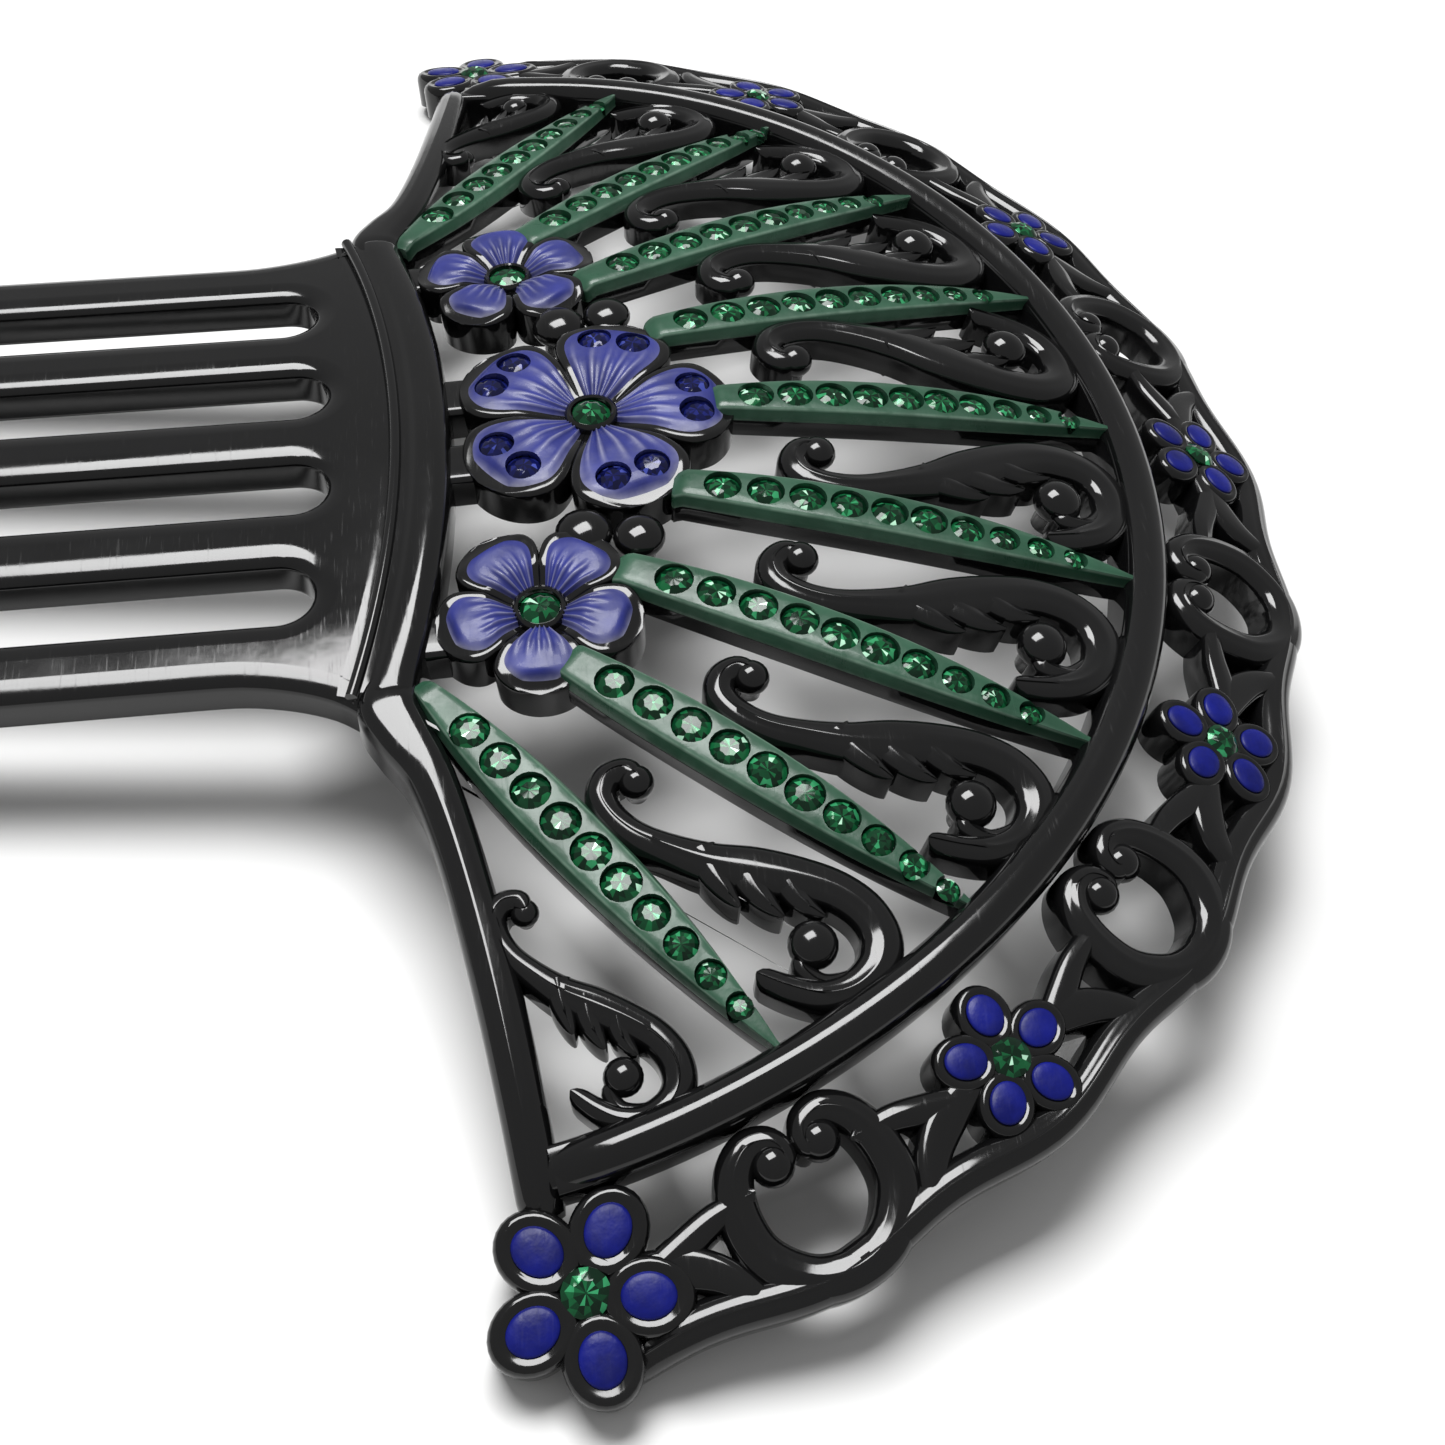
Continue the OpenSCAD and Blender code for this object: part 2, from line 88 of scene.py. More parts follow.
def on_table(points):
    """Plan points (n, 3) in millimetres, to metres on the table."""
    p = np.asarray(points, float)
    base, normal = sheet_point(p[..., 0], p[..., 1])
    return (tip_over(base + normal * p[..., 2:3]) + np.array([0, ORIGIN_Y, LIFT])) * MM


print("middle flower stands at", on_table([[0, 0, 0]])[0].round(4))

# %% [markdown]
# ## Modelling helpers
#
# Almost every piece is a loft: a row of cross-sections with the same number of points, joined by quads and
# closed at both ends. A small class collects lofts and turns them into one object. Each piece is a closed
# solid, so its faces can be made to point outwards afterwards.

# %% Curves and rings
def curve(points, steps):
    """Smooth curve through points of any dimension, with steps points to each span."""
    p = np.asarray(points, float)
    out = []
    for i in range(len(p) - 1):
        a, b, c, d = p[max(i - 1, 0)], p[i], p[i + 1], p[min(i + 2, len(p) - 1)]
        for t in np.arange(steps) / steps:
            square = (2 * a - 5 * b + 4 * c - d) * t**2
            cube = (3 * b - a - 3 * c + d) * t**3
            out.append(0.5 * (2 * b + (c - a) * t + square + cube))
    out.append(p[-1])
    return np.array(out)


def ease(a, b, x):
    """Soft step: 0 at a, 1 at b."""
    t = min(1.0, max(0.0, (x - a) / (b - a)))
    return t * t * (3 - 2 * t)


def side_of(path):
    """Unit vector to the left of a plan path, at each of its points."""
    d = np.gradient(path[:, :2], axis=0)
    d /= np.linalg.norm(d, axis=1)[:, None] + 1e-9
    return np.stack([-d[:, 1], d[:, 0]], -1)


def turned(p, degrees):
    """A plan vector turned clockwise."""
    a = math.radians(degrees)
    return np.array([p[0] * math.cos(a) + p[1] * math.sin(a), p[1] * math.cos(a) - p[0] * math.sin(a)])


def oval(rx, ry, h, sides=28):
    """Closed ring of points at height h."""
    around = np.linspace(0, 2 * math.pi, sides, endpoint=False)
    return [(rx * math.cos(a), ry * math.sin(a), h) for a in around]


def circle(r, h, sides=28):
    return oval(r, r, h, sides)


print("a half turn of (0, 1):", turned((0, 1), 180).round(3))

# %% [markdown]
# A sweep is a loft along a path. The section stands square to the path at each of its points, its half width
# comes from a list, and either end can be rounded in plan by drawing the width in over the last stretch.

# %% Lofts and sweeps
class Solid:
    """Collects lofts in plan millimetres and makes them one object."""

    def __init__(self):
        self.points, self.faces = [], []

    def loft(self, rings):
        """Joins a row of rings with the same number of points, and closes both ends."""
        rings = np.asarray(rings, float)
        m, k = rings.shape[:2]
        base = len(self.points)
        self.points += [tuple(p) for p in rings.reshape(-1, 3)]
        for i in range(m - 1):
            for j in range(k):
                a, b = base + i * k + j, base + i * k + (j + 1) % k
                self.faces.append((a, b, b + k, a + k))
        self.faces.append(tuple(base + j for j in range(k))[::-1])
        self.faces.append(tuple(base + (m - 1) * k + j for j in range(k)))

    def sweep(self, path, widths, section, round_ends=(0, 0), lifts=None):
        """Sweeps a section along a plan path.

        section(half width) gives points (across, height). lifts raise or lower its top along the path.
        """
        path = np.asarray(path, float)
        side = side_of(path)
        steps = np.linalg.norm(np.diff(path[:, :2], axis=0), axis=1)
        run = np.concatenate([[0], np.cumsum(steps)])
        rings = []
        for i in range(len(path)):
            half = widths[i] / 2
            for end, far in ((round_ends[0], run[i]), (round_ends[1], run[-1] - run[i])):
                if end and far < end:
                    half *= math.sqrt(max(0.02, 1 - (1 - far / end) ** 2))
            s = section(half)
            if lifts is not None:
                s[s[:, 1] > s[:, 1].min() + 0.5, 1] += lifts[i]
            across = path[i, :2] + side[i] * s[:, :1]
            rings.append(np.column_stack([across, s[:, 1]]))
        self.loft(rings)

    def build(self, name, flat=False):
        """Makes the object, bent to the sheet unless flat is asked for."""
        mesh = bpy.data.meshes.new(name)
        pts = np.array(self.points) if flat else on_table(self.points)
        mesh.from_pydata(pts.tolist(), [], self.faces)
        obj = bpy.data.objects.new(name, mesh)
        bpy.context.scene.collection.objects.link(obj)
        outward(obj)
        return obj


def outward(obj):
    """Points every face away from the inside of its closed solid."""
    bm = bmesh.new()
    bm.from_mesh(obj.data)
    bmesh.ops.recalc_face_normals(bm, faces=bm.faces)
    bm.to_mesh(obj.data)
    bm.free()


print("a loft keeps", list(vars(Solid())))

# %% [markdown]
# Most sections are the same: upright walls and a top rounded like polished horn. Shading is smooth except
# where two faces meet at more than a given angle.

# %% Sections and shading
def rounded(low, high, edge, crown=0.0, steps=4):
    """Section with upright walls and a rounded, slightly crowned top."""
    def section(half):
        e = min(edge, half * 0.98)
        turns = np.linspace(0, math.pi / 2, steps + 1)
        arc = [(half - e + e * math.cos(a), high - e + e * math.sin(a)) for a in turns]
        top = [(t * (half - e), high + crown * (1 - t * t)) for t in (0.5, 0, -0.5)]
        right = [(half, low)] + arc
        left = [(-x, z) for x, z in reversed(right)]
        return np.array(right + top + left)
    return section


def smooth(obj, angle):
    obj.data.shade_smooth()
    obj.data.set_sharp_from_angle(angle=math.radians(angle))
    return obj


print("points in a rounded section:", len(rounded(UNDERSIDE, 0.1, 1.0)(1.5)))

# %% [markdown]
# ## Shared surface effects
#
# Old polished celluloid and enamel show the same three things: hair-fine scratches, a film of dust, and
# paler worn edges. The pale edges also carry painted highlights. Each is a shader node group with named
# inputs, built once and given its own values in each material. They read Object coordinates, so a pattern
# stays fixed to the comb.

# %% Building a node group
def new_group(name, inputs, outputs):
    tree = bpy.data.node_groups.new(name, "ShaderNodeTree")
    for label, kind, value in inputs:
        s = tree.interface.new_socket(label, in_out="INPUT", socket_type=kind)
        if value is not None:
            s.default_value = value
    for label, kind in outputs:
        tree.interface.new_socket(label, in_out="OUTPUT", socket_type=kind)
    return tree, tree.nodes.new("NodeGroupInput"), tree.nodes.new("NodeGroupOutput")


def node(tree, kind, **values):
    n = tree.nodes.new(kind)
    for key, value in values.items():
        setattr(n, key, value)
    return n


print("node helpers ready")

# %% [markdown]
# Handling leaves hair-fine scratches in two main directions. Noise that is stretched a long way along one
# axis, and cut off so that only its peaks are left, draws one set of them.

# %% Fine scratches
def scratches_group():
    """Fine scratches in two directions, as a mask."""
    tree, gin, gout = new_group(
        "Fine scratches",
        [("Scale", "NodeSocketFloat", 400.0), ("Amount", "NodeSocketFloat", 0.5)],
        [("Mask", "NodeSocketFloat")])
    coords = node(tree, "ShaderNodeTexCoord")
    total = None
    for angle, stretch in ((0.35, 14.0), (1.25, 20.0)):
        turn = node(tree, "ShaderNodeMapping")
        turn.inputs["Rotation"].default_value = (0.1, 0.0, angle)
        turn.inputs["Scale"].default_value = (1.0, stretch, 1.0)
        noise = node(tree, "ShaderNodeTexNoise")
        noise.inputs["Detail"].default_value = 2.0
        ramp = node(tree, "ShaderNodeMapRange")
        ramp.inputs["From Min"].default_value = 0.62
        ramp.inputs["From Max"].default_value = 0.74
        tree.links.new(coords.outputs["Object"], turn.inputs["Vector"])
        tree.links.new(turn.outputs["Vector"], noise.inputs["Vector"])
        tree.links.new(gin.outputs["Scale"], noise.inputs["Scale"])
        tree.links.new(noise.outputs["Fac"], ramp.inputs["Value"])
        if total is None:
            total = ramp.outputs["Result"]
        else:
            both = node(tree, "ShaderNodeMath", operation="MAXIMUM")
            tree.links.new(total, both.inputs[0])
            tree.links.new(ramp.outputs["Result"], both.inputs[1])
            total = both.outputs["Value"]
    amount = node(tree, "ShaderNodeMath", operation="MULTIPLY")
    tree.links.new(total, amount.inputs[0])
    tree.links.new(gin.outputs["Amount"], amount.inputs[1])
    tree.links.new(amount.outputs["Value"], gout.inputs["Mask"])
    return tree


SCRATCHES = scratches_group()
print(SCRATCHES.name, "has", len(SCRATCHES.nodes), "nodes")

# %% [markdown]
# A film of dust and hand marks is cloudy, and hand-laid enamel is cloudy in the same way. One soft noise
# between two values serves for both.

# %% Cloudy film
def mottle_group():
    """Soft cloudy variation between two values, for dust, hand marks and uneven enamel."""
    tree, gin, gout = new_group(
        "Cloudy film",
        [("Scale", "NodeSocketFloat", 60.0), ("Low", "NodeSocketFloat", 0.0),
         ("High", "NodeSocketFloat", 1.0)],
        [("Value", "NodeSocketFloat")])
    coords = node(tree, "ShaderNodeTexCoord")
    noise = node(tree, "ShaderNodeTexNoise")
    noise.inputs["Detail"].default_value = 5.0
    noise.inputs["Roughness"].default_value = 0.6
    ramp = node(tree, "ShaderNodeMapRange")
    ramp.inputs["From Min"].default_value = 0.35
    ramp.inputs["From Max"].default_value = 0.7
    tree.links.new(coords.outputs["Object"], noise.inputs["Vector"])
    tree.links.new(gin.outputs["Scale"], noise.inputs["Scale"])
    tree.links.new(noise.outputs["Fac"], ramp.inputs["Value"])
    tree.links.new(gin.outputs["Low"], ramp.inputs["To Min"])
    tree.links.new(gin.outputs["High"], ramp.inputs["To Max"])
    tree.links.new(ramp.outputs["Result"], gout.inputs["Value"])
    return tree


MOTTLE = mottle_group()
print(MOTTLE.name, "has", len(MOTTLE.nodes), "nodes")

# %% [markdown]
# Enamel is thin and pale along its rims and ridges. The same pale colour also paints highlights: along the
# leaves' shoulders and lower edges, and on the petal rims and tips on the camera's side. Each enamelled piece
# carries this wear and painted highlight as an attribute on its points, worked out when it is lofted, and
# grain breaks that up so that it doesn't look painted on.

# %% Worn edges
def wear_and_highlight_group():
    """Blends a colour towards a pale colour, for rubbed edges and for painted highlights, where the piece's
    wear_and_highlight attribute is high, broken up by grain.
    """
    tree, gin, gout = new_group(
        "Worn edges and painted highlights",
        [("Color", "NodeSocketColor", None), ("Worn and highlight color", "NodeSocketColor", None),
         ("Amount", "NodeSocketFloat", 1.0), ("Grain scale", "NodeSocketFloat", 900.0)],
        [("Color", "NodeSocketColor"), ("Mask", "NodeSocketFloat")])
    coords = node(tree, "ShaderNodeTexCoord")
    wear_and_highlight = node(tree, "ShaderNodeAttribute", attribute_name="wear_and_highlight")
    noise = node(tree, "ShaderNodeTexNoise")
    noise.inputs["Detail"].default_value = 4.0
    ramp = node(tree, "ShaderNodeMapRange")
    ramp.inputs["From Min"].default_value = 0.3
    ramp.inputs["From Max"].default_value = 0.6
    ramp.inputs["To Min"].default_value = 0.45
    mask = node(tree, "ShaderNodeMath", operation="MULTIPLY")
    amount = node(tree, "ShaderNodeMath", operation="MULTIPLY", use_clamp=True)
    mix = node(tree, "ShaderNodeMix", data_type="RGBA")
    tree.links.new(coords.outputs["Object"], noise.inputs["Vector"])
    tree.links.new(gin.outputs["Grain scale"], noise.inputs["Scale"])
    tree.links.new(noise.outputs["Fac"], ramp.inputs["Value"])
    tree.links.new(wear_and_highlight.outputs["Fac"], mask.inputs[0])
    tree.links.new(ramp.outputs["Result"], mask.inputs[1])
    tree.links.new(mask.outputs["Value"], amount.inputs[0])
    tree.links.new(gin.outputs["Amount"], amount.inputs[1])
    tree.links.new(amount.outputs["Value"], mix.inputs["Factor"])
    tree.links.new(gin.outputs["Color"], mix.inputs["A"])
    tree.links.new(gin.outputs["Worn and highlight color"], mix.inputs["B"])
    tree.links.new(mix.outputs["Result"], gout.inputs["Color"])
    tree.links.new(amount.outputs["Value"], gout.inputs["Mask"])
    return tree


WEAR_AND_HIGHLIGHT = wear_and_highlight_group()
print(WEAR_AND_HIGHLIGHT.name, "has", len(WEAR_AND_HIGHLIGHT.nodes), "nodes")

# %% [markdown]
# ## Finishes
#
# Each finish is a Principled shader with the effect groups feeding its colour, roughness and bump. Black
# celluloid takes a deep polish. The enamels are thinner and softer. The light that the foil behind each stone
# throws back through its facets is painted: the glass takes one of a few tones facet by facet, as painted
# reflections.

# %% Colour, roughness and grain
def use_group(tree, group, **values):
    g = node(tree, "ShaderNodeGroup", node_tree=group)
    for key, value in values.items():
        g.inputs[key.replace("_", " ")].default_value = value
    return g


def painted_facet_reflections(tree, reflection_tones):
    """One of a few painted reflection tones for each facet, picked by the random value stored on it."""
    facet = node(tree, "ShaderNodeAttribute", attribute_name="facet")
    ramp = node(tree, "ShaderNodeValToRGB")
    ramp.color_ramp.interpolation = "CONSTANT"
    for k, (at, tone) in enumerate(reflection_tones):
        stop = ramp.color_ramp.elements[k] if k < 2 else ramp.color_ramp.elements.new(at)
        stop.position, stop.color = at, (*tone, 1)
    tree.links.new(facet.outputs["Fac"], ramp.inputs["Fac"])
    return ramp.outputs["Color"]


def uneven_color(tree, color, film_scale, shade, reflection_tones):
    film = use_group(tree, MOTTLE, Scale=film_scale, Low=shade[0], High=shade[1])
    tint = node(tree, "ShaderNodeMix", data_type="RGBA", blend_type="MULTIPLY")
    tint.inputs["Factor"].default_value = 1.0
    tint.inputs["A"].default_value = (*color, 1)
    tree.links.new(film.outputs["Value"], tint.inputs["B"])
    if reflection_tones:
        tree.links.new(painted_facet_reflections(tree, reflection_tones), tint.inputs["A"])
    return tint.outputs["Result"]


def uneven_roughness(tree, rough, film_scale, scratch):
    cloudy = use_group(tree, MOTTLE, Scale=film_scale * 1.7, Low=rough[0], High=rough[1])
    lines = use_group(tree, SCRATCHES, Scale=380.0, Amount=scratch)
    add = node(tree, "ShaderNodeMath", operation="ADD", use_clamp=True)
    tree.links.new(cloudy.outputs["Value"], add.inputs[0])
    tree.links.new(lines.outputs["Mask"], add.inputs[1])
    return add.outputs["Value"]


def fine_grain(tree, strength, scale):
    coords = node(tree, "ShaderNodeTexCoord")
    noise = node(tree, "ShaderNodeTexNoise")
    noise.inputs["Scale"].default_value = scale
    noise.inputs["Detail"].default_value = 3.0
    b = node(tree, "ShaderNodeBump")
    b.inputs["Strength"].default_value = strength
    b.inputs["Distance"].default_value = 0.0002
    tree.links.new(coords.outputs["Object"], noise.inputs["Vector"])
    tree.links.new(noise.outputs["Fac"], b.inputs["Height"])
    return b.outputs["Normal"]


print("surface helpers ready")

# %% [markdown]
# One function puts these together. Constants that don't change over the surface, such as the coat and the
# strength of the reflection, are set straight on the shader's sockets.

# %% One finish
def finish(name, color, rough=(0.1, 0.2), metallic=0.0, coat=0.0, worn_and_highlight=None, wear_and_highlight=1.0, scratch=0.4,
           film_scale=60.0, shade=(0.85, 1.1), bump=0.0, bump_scale=300.0, ior=1.5, specular=0.5,
           reflection_tones=None):
    mat = bpy.data.materials.new(name)
    mat.use_nodes = True
    tree = mat.node_tree
    shader = tree.nodes["Principled BSDF"]
    shader.inputs["Metallic"].default_value = metallic
    shader.inputs["Coat Weight"].default_value = coat
    shader.inputs["Coat Roughness"].default_value = 0.04
    shader.inputs["IOR"].default_value = ior
    shader.inputs["Specular IOR Level"].default_value = specular
    out = uneven_color(tree, color, film_scale, shade, reflection_tones)
    # the pale colour below is blended in both for rubbed edges and as a painted highlight
    if worn_and_highlight:
        worn_and_highlit_edges = use_group(tree, WEAR_AND_HIGHLIGHT, Amount=wear_and_highlight)
        worn_and_highlit_edges.inputs["Worn and highlight color"].default_value = (*worn_and_highlight, 1)
        tree.links.new(out, worn_and_highlit_edges.inputs["Color"])
        out = worn_and_highlit_edges.outputs["Color"]
    tree.links.new(out, shader.inputs["Base Color"])
    tree.links.new(uneven_roughness(tree, rough, film_scale, scratch), shader.inputs["Roughness"])
    if bump:
        tree.links.new(fine_grain(tree, bump, bump_scale), shader.inputs["Normal"])
    return mat


BLACK = finish("black celluloid", (0.004, 0.004, 0.0042), rough=(0.06, 0.16), scratch=0.1, bump=0.08,
               bump_scale=260, film_scale=50)
print("the comb is", BLACK.name)

# %% [markdown]
# The enamels are soft and a little uneven, with pale worn edges that also carry painted highlights. The
# border's blue is the plainest and most solid. The two glasses share one recipe of painted reflections:
# mostly dark facets, a few mid ones, and a rare one painted as a flash.

# %% Enamels and glass
# its pale colour also paints the highlight lines along the leaves' shoulders and lower edges
GREEN = finish("green enamel", (0.018, 0.068, 0.038), rough=(0.26, 0.42), coat=0.1, worn_and_highlight=(0.26, 0.38, 0.3),
               wear_and_highlight=0.7, scratch=0.1, bump=0.2, bump_scale=900, film_scale=240, shade=(0.8, 1.25),
               specular=0.35)
# its pale colour also paints the highlight on the petal rims and tips on the camera's side
VIOLET = finish("violet enamel", (0.016, 0.022, 0.16), rough=(0.34, 0.5), coat=0.1, worn_and_highlight=(0.3, 0.3, 0.4),
                wear_and_highlight=1.0, scratch=0.1, bump=0.2, bump_scale=800, film_scale=260, shade=(0.75, 1.3),
                specular=0.35)
BLUE = finish("blue enamel", (0.003, 0.006, 0.13), rough=(0.3, 0.5), worn_and_highlight=(0.2, 0.22, 0.42), wear_and_highlight=0.7,
              scratch=0.2, bump=0.3, bump_scale=900, film_scale=400, shade=(0.7, 1.4), specular=0.22)


def foiled_glass(name, reflection_tones):
    return finish(name, (1, 1, 1), rough=(0.06, 0.14), metallic=0.1, scratch=0.03, specular=0.27,
                  film_scale=420, shade=(0.7, 1.2), ior=1.6, reflection_tones=reflection_tones)


# tones painted as reflections of the foil: mostly dark, some mid, and a rare near-white one painted as a
# glint
GREEN_GLASS = foiled_glass("green foiled glass", (
    (0, (0.0015, 0.018, 0.007)), (0.42, (0.003, 0.045, 0.016)), (0.7, (0.007, 0.11, 0.036)),
    (0.9, (0.035, 0.3, 0.12)), (0.975, (0.5, 0.85, 0.62))))
BLUE_GLASS = foiled_glass("blue foiled glass", (
    (0, (0.003, 0.004, 0.03)), (0.45, (0.004, 0.006, 0.06)), (0.8, (0.01, 0.015, 0.13)),
    (0.95, (0.05, 0.07, 0.34))))
print("finishes:", [m.name for m in bpy.data.materials])

# %% [markdown]
# Every finished piece goes through one function. It gives the piece its material, ties it to the comb's one
# body, and hides the CAD nodes that it stands for.

# %% Handing a piece over
def done(obj, mat, slot, *nodes):
    """Gives a piece its finish, ties it to the comb's body, and hides the CAD nodes that it stands for."""
    obj.data.materials.clear()
    obj.data.materials.append(mat)
    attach(obj, "root")
    if nodes:
        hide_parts(*nodes)
    obj.data.calc_loop_triangles()
    print(f"{obj.name}: {len(obj.data.loop_triangles)} triangles")
    return obj


def paint_wear_and_highlight(obj, values):
    """Stores the wear_and_highlight value of each point: how rubbed the enamel is, and where a highlight is
    painted.
    """
    a = obj.data.attributes.new("wear_and_highlight", "FLOAT", "POINT")
    a.data.foreach_set("value", np.asarray(values, np.float32))


print("ready to hand over pieces")

# %% [markdown]
# ## Teeth and root plate
#
# The five teeth and the plate that they spring from are one smooth shape with every edge rounded. The
# outline is one closed comb shape. It is extruded flat, its edges are rounded with a Bevel modifier, then it
# is cut into strips so that it can follow the bend of the sheet.

# %% Outline of the teeth and root
TOOTH_W, GAP_W, TIP_Y = 4.8, 5.0, 112.0
PITCH = TOOTH_W + GAP_W
BEAD_R, COLLAR_Y = 85.0, 10.8


def bead_edge(x, y0):
    return -y0 - BEAD_R + math.sqrt(BEAD_R**2 - x * x)


def half_circle(x, y, r, steps, way):
    """Half a circle from its left end to its right end, bulging up the comb (way 1) or down (way -1)."""
    return [(x - r * math.cos(a), y + way * r * math.sin(a)) for a in np.linspace(0, math.pi, steps)]


def comb_outline():
    tip_half = TOOTH_W * 0.37
    root_side = curve([(22, -28), (22.1, -25), (22.7, -22), (23.7, -19.4), (25, -17.6)], 4)
    points = [(-x, y) for x, y in root_side[::-1]]
    for i in range(5):
        x = (i - 2) * PITCH
        points += [(x - TOOTH_W / 2, 26 - TIP_Y)]
        points += half_circle(x, tip_half - TIP_Y, tip_half, 13, -1)
        points += [(x + TOOTH_W / 2, 26 - TIP_Y)]
        if i < 4:
            gx = x + PITCH / 2
            top = -19.4 - (1 if i in (0, 3) else 0) - GAP_W / 2
            points += half_circle(gx, top, GAP_W / 2, 25, 1)
    points += [tuple(p) for p in root_side]
    points += [(x, bead_edge(x, BEAD_Y - 0.6)) for x in np.arange(24, -25, -2)]
    return points


outline = comb_outline()
print("points in the outline:", len(outline))

# %% [markdown]
# The top edges are eased over a wide shallow curve, as a polishing wheel leaves them, and the lower edges
# are just broken. One weighted Bevel makes both, and the wide curve is then pressed to its own profile.

# %% Extruding and easing
EASE_W, EASE_DEPTH, UNDER_EASE = 1.6, 0.85, 0.25


def apply_all(obj):
    """Replaces an object's mesh by what its modifiers make of it."""
    deps = bpy.context.evaluated_depsgraph_get()
    mesh = bpy.data.meshes.new_from_object(obj.evaluated_get(deps))
    obj.modifiers.clear()
    obj.data = mesh
    return obj


def eased_slab(name, outline):
    bm = bmesh.new()
    bottom = [bm.verts.new((x, y, UNDERSIDE)) for x, y in outline]
    face = bm.faces.new(bottom)
    for v in bmesh.ops.extrude_face_region(bm, geom=[face])["geom"]:
        if isinstance(v, bmesh.types.BMVert):
            v.co.z = 0.0
    bmesh.ops.recalc_face_normals(bm, faces=bm.faces)
    weight = bm.edges.layers.float.new("bevel_weight_edge")
    for e in bm.edges:
        heights = [v.co.z for v in e.verts]
        if max(heights) - min(heights) < 0.01:
            e[weight] = 1.0 if heights[0] > UNDERSIDE / 2 else UNDER_EASE / EASE_W
    mesh = bpy.data.meshes.new(name)
    bm.to_mesh(mesh)
    bm.free()
    obj = bpy.data.objects.new(name, mesh)
    bpy.context.scene.collection.objects.link(obj)
    bevel = obj.modifiers.new("ease edges", "BEVEL")
    bevel.width = EASE_W
    bevel.segments = 8
    bevel.limit_method = "WEIGHT"
    bevel.use_clamp_overlap = False
    apply_all(obj)
    # the easing falls slowly at first, then turns down, and is wider than it is deep
    for v in obj.data.vertices:
        z = v.co.z
        if z > -EASE_W:
            t = -z / EASE_W
            v.co.z = -EASE_DEPTH * (0.35 * math.sqrt(t) + 0.65 * t**1.5)
        else:
            v.co.z = UNDERSIDE + (z - UNDERSIDE) * (EASE_DEPTH + UNDERSIDE) / (EASE_W + UNDERSIDE)
    return obj


teeth = eased_slab("teeth_and_root", outline)
print("teeth, still flat:", len(teeth.data.vertices), "points")

# %% [markdown]
# A face as large as the root plate can't bend, so it is cut into strips first, across and along the comb.

# %% Bending the blank
def cut_and_bend(obj, x_cuts, y_cuts, support=0.12):
    """Adds a supporting edge inside each large face, cuts the piece into strips, and bends it."""
    bm = bmesh.new()
    bm.from_mesh(obj.data)
    big = [f for f in bm.faces if len(f.verts) > 12]
    bmesh.ops.inset_region(bm, faces=big, thickness=support, use_even_offset=True)
    cuts = [((x, 0, 0), (1, 0, 0)) for x in x_cuts] + [((0, y, 0), (0, 1, 0)) for y in y_cuts]
    for at, way in cuts:
        everything = bm.verts[:] + bm.edges[:] + bm.faces[:]
        bmesh.ops.bisect_plane(bm, geom=everything, plane_co=at, plane_no=way)
    bmesh.ops.remove_doubles(bm, verts=bm.verts, dist=0.001)
    bmesh.ops.recalc_face_normals(bm, faces=bm.faces)
    co = on_table([v.co[:] for v in bm.verts])
    for v, c in zip(bm.verts, co):
        v.co = c
    bm.to_mesh(obj.data)
    bm.free()
    return obj


cut_and_bend(teeth, np.arange(-24, 25, 3.0), np.arange(-100, -15, 12.0))
smooth(teeth, 50)
done(teeth, BLACK, "black_celluloid", *[f"tooth_{i}" for i in range(1, 6)], "tooth_root")

# %% [markdown]
# ## Collar and bead
#
# A raised band crosses the comb where the teeth meet the fan. On its tooth side runs a fine half-round bead
# with a groove beside it, and its fan side is rolled over. It is one loft across the comb, whose section
# holds the groove and the band, and the bead is a rod made with Geometry Nodes along the same arc.

# %% Collar
COLLAR_FLAT, COLLAR_END = 23.4, 24.3


def collar_ring(x):
    y_bead, y_fan = bead_edge(x, BEAD_Y), bead_edge(min(abs(x), 23.0), COLLAR_Y)
    run = y_fan - y_bead
    section = [(0, UNDERSIDE), (0, 0.0), (0.02, 0.12), (0.2, 0.1), (0.27, 0.16), (0.34, 0.38),
               (0.42, 0.46), (0.58, 0.47), (0.72, 0.4), (0.84, 0.22), (0.93, -0.1), (0.98, -0.5),
               (1, -1.0), (1, UNDERSIDE)]
    # both ends of the band are rounded down to meet the rails
    over = max(0.0, abs(x) - COLLAR_FLAT)
    drop = 1.0 - math.sqrt(max(0.0, 1.0 - over**2))
    return [(x, y_bead + run * t, h - (drop if h > UNDERSIDE else 0)) for t, h in section]


collar_solid = Solid()
end = np.linspace(COLLAR_FLAT, COLLAR_END, 6)
stations = np.concatenate([-end[::-1], np.linspace(-22.4, 22.4, 41), end])
collar_solid.loft([collar_ring(x) for x in stations])
web = rounded(UNDERSIDE, -0.5, 0.5)
for s in (-1, 1):
    for x, y, r in ((3.6, -10, 1.9), (19.2, -12.4, 1.7)):
        collar_solid.sweep([(s * x, y - r, 0), (s * x, y + r, 0)], [2 * r, 2 * r], web)
collar = smooth(collar_solid.build("collar"), 40)
done(collar, BLACK, "black_celluloid", "collar")

# %% [markdown]
# A rod along a path is the plainest use of Curve to Mesh: the path becomes a curve, a circle is swept along
# it, and the ends are filled. The rib of the fan and the bead share this tree and differ only in their sizes.

# %% A rod along a path, with Geometry Nodes
def gn_tree(name, inputs):
    tree = bpy.data.node_groups.new(name, "GeometryNodeTree")
    tree.interface.new_socket("Geometry", in_out="INPUT", socket_type="NodeSocketGeometry")
    for label, kind in inputs:
        tree.interface.new_socket(label, in_out="INPUT", socket_type=kind)
    tree.interface.new_socket("Geometry", in_out="OUTPUT", socket_type="NodeSocketGeometry")
    return tree, tree.nodes.new("NodeGroupInput"), tree.nodes.new("NodeGroupOutput")


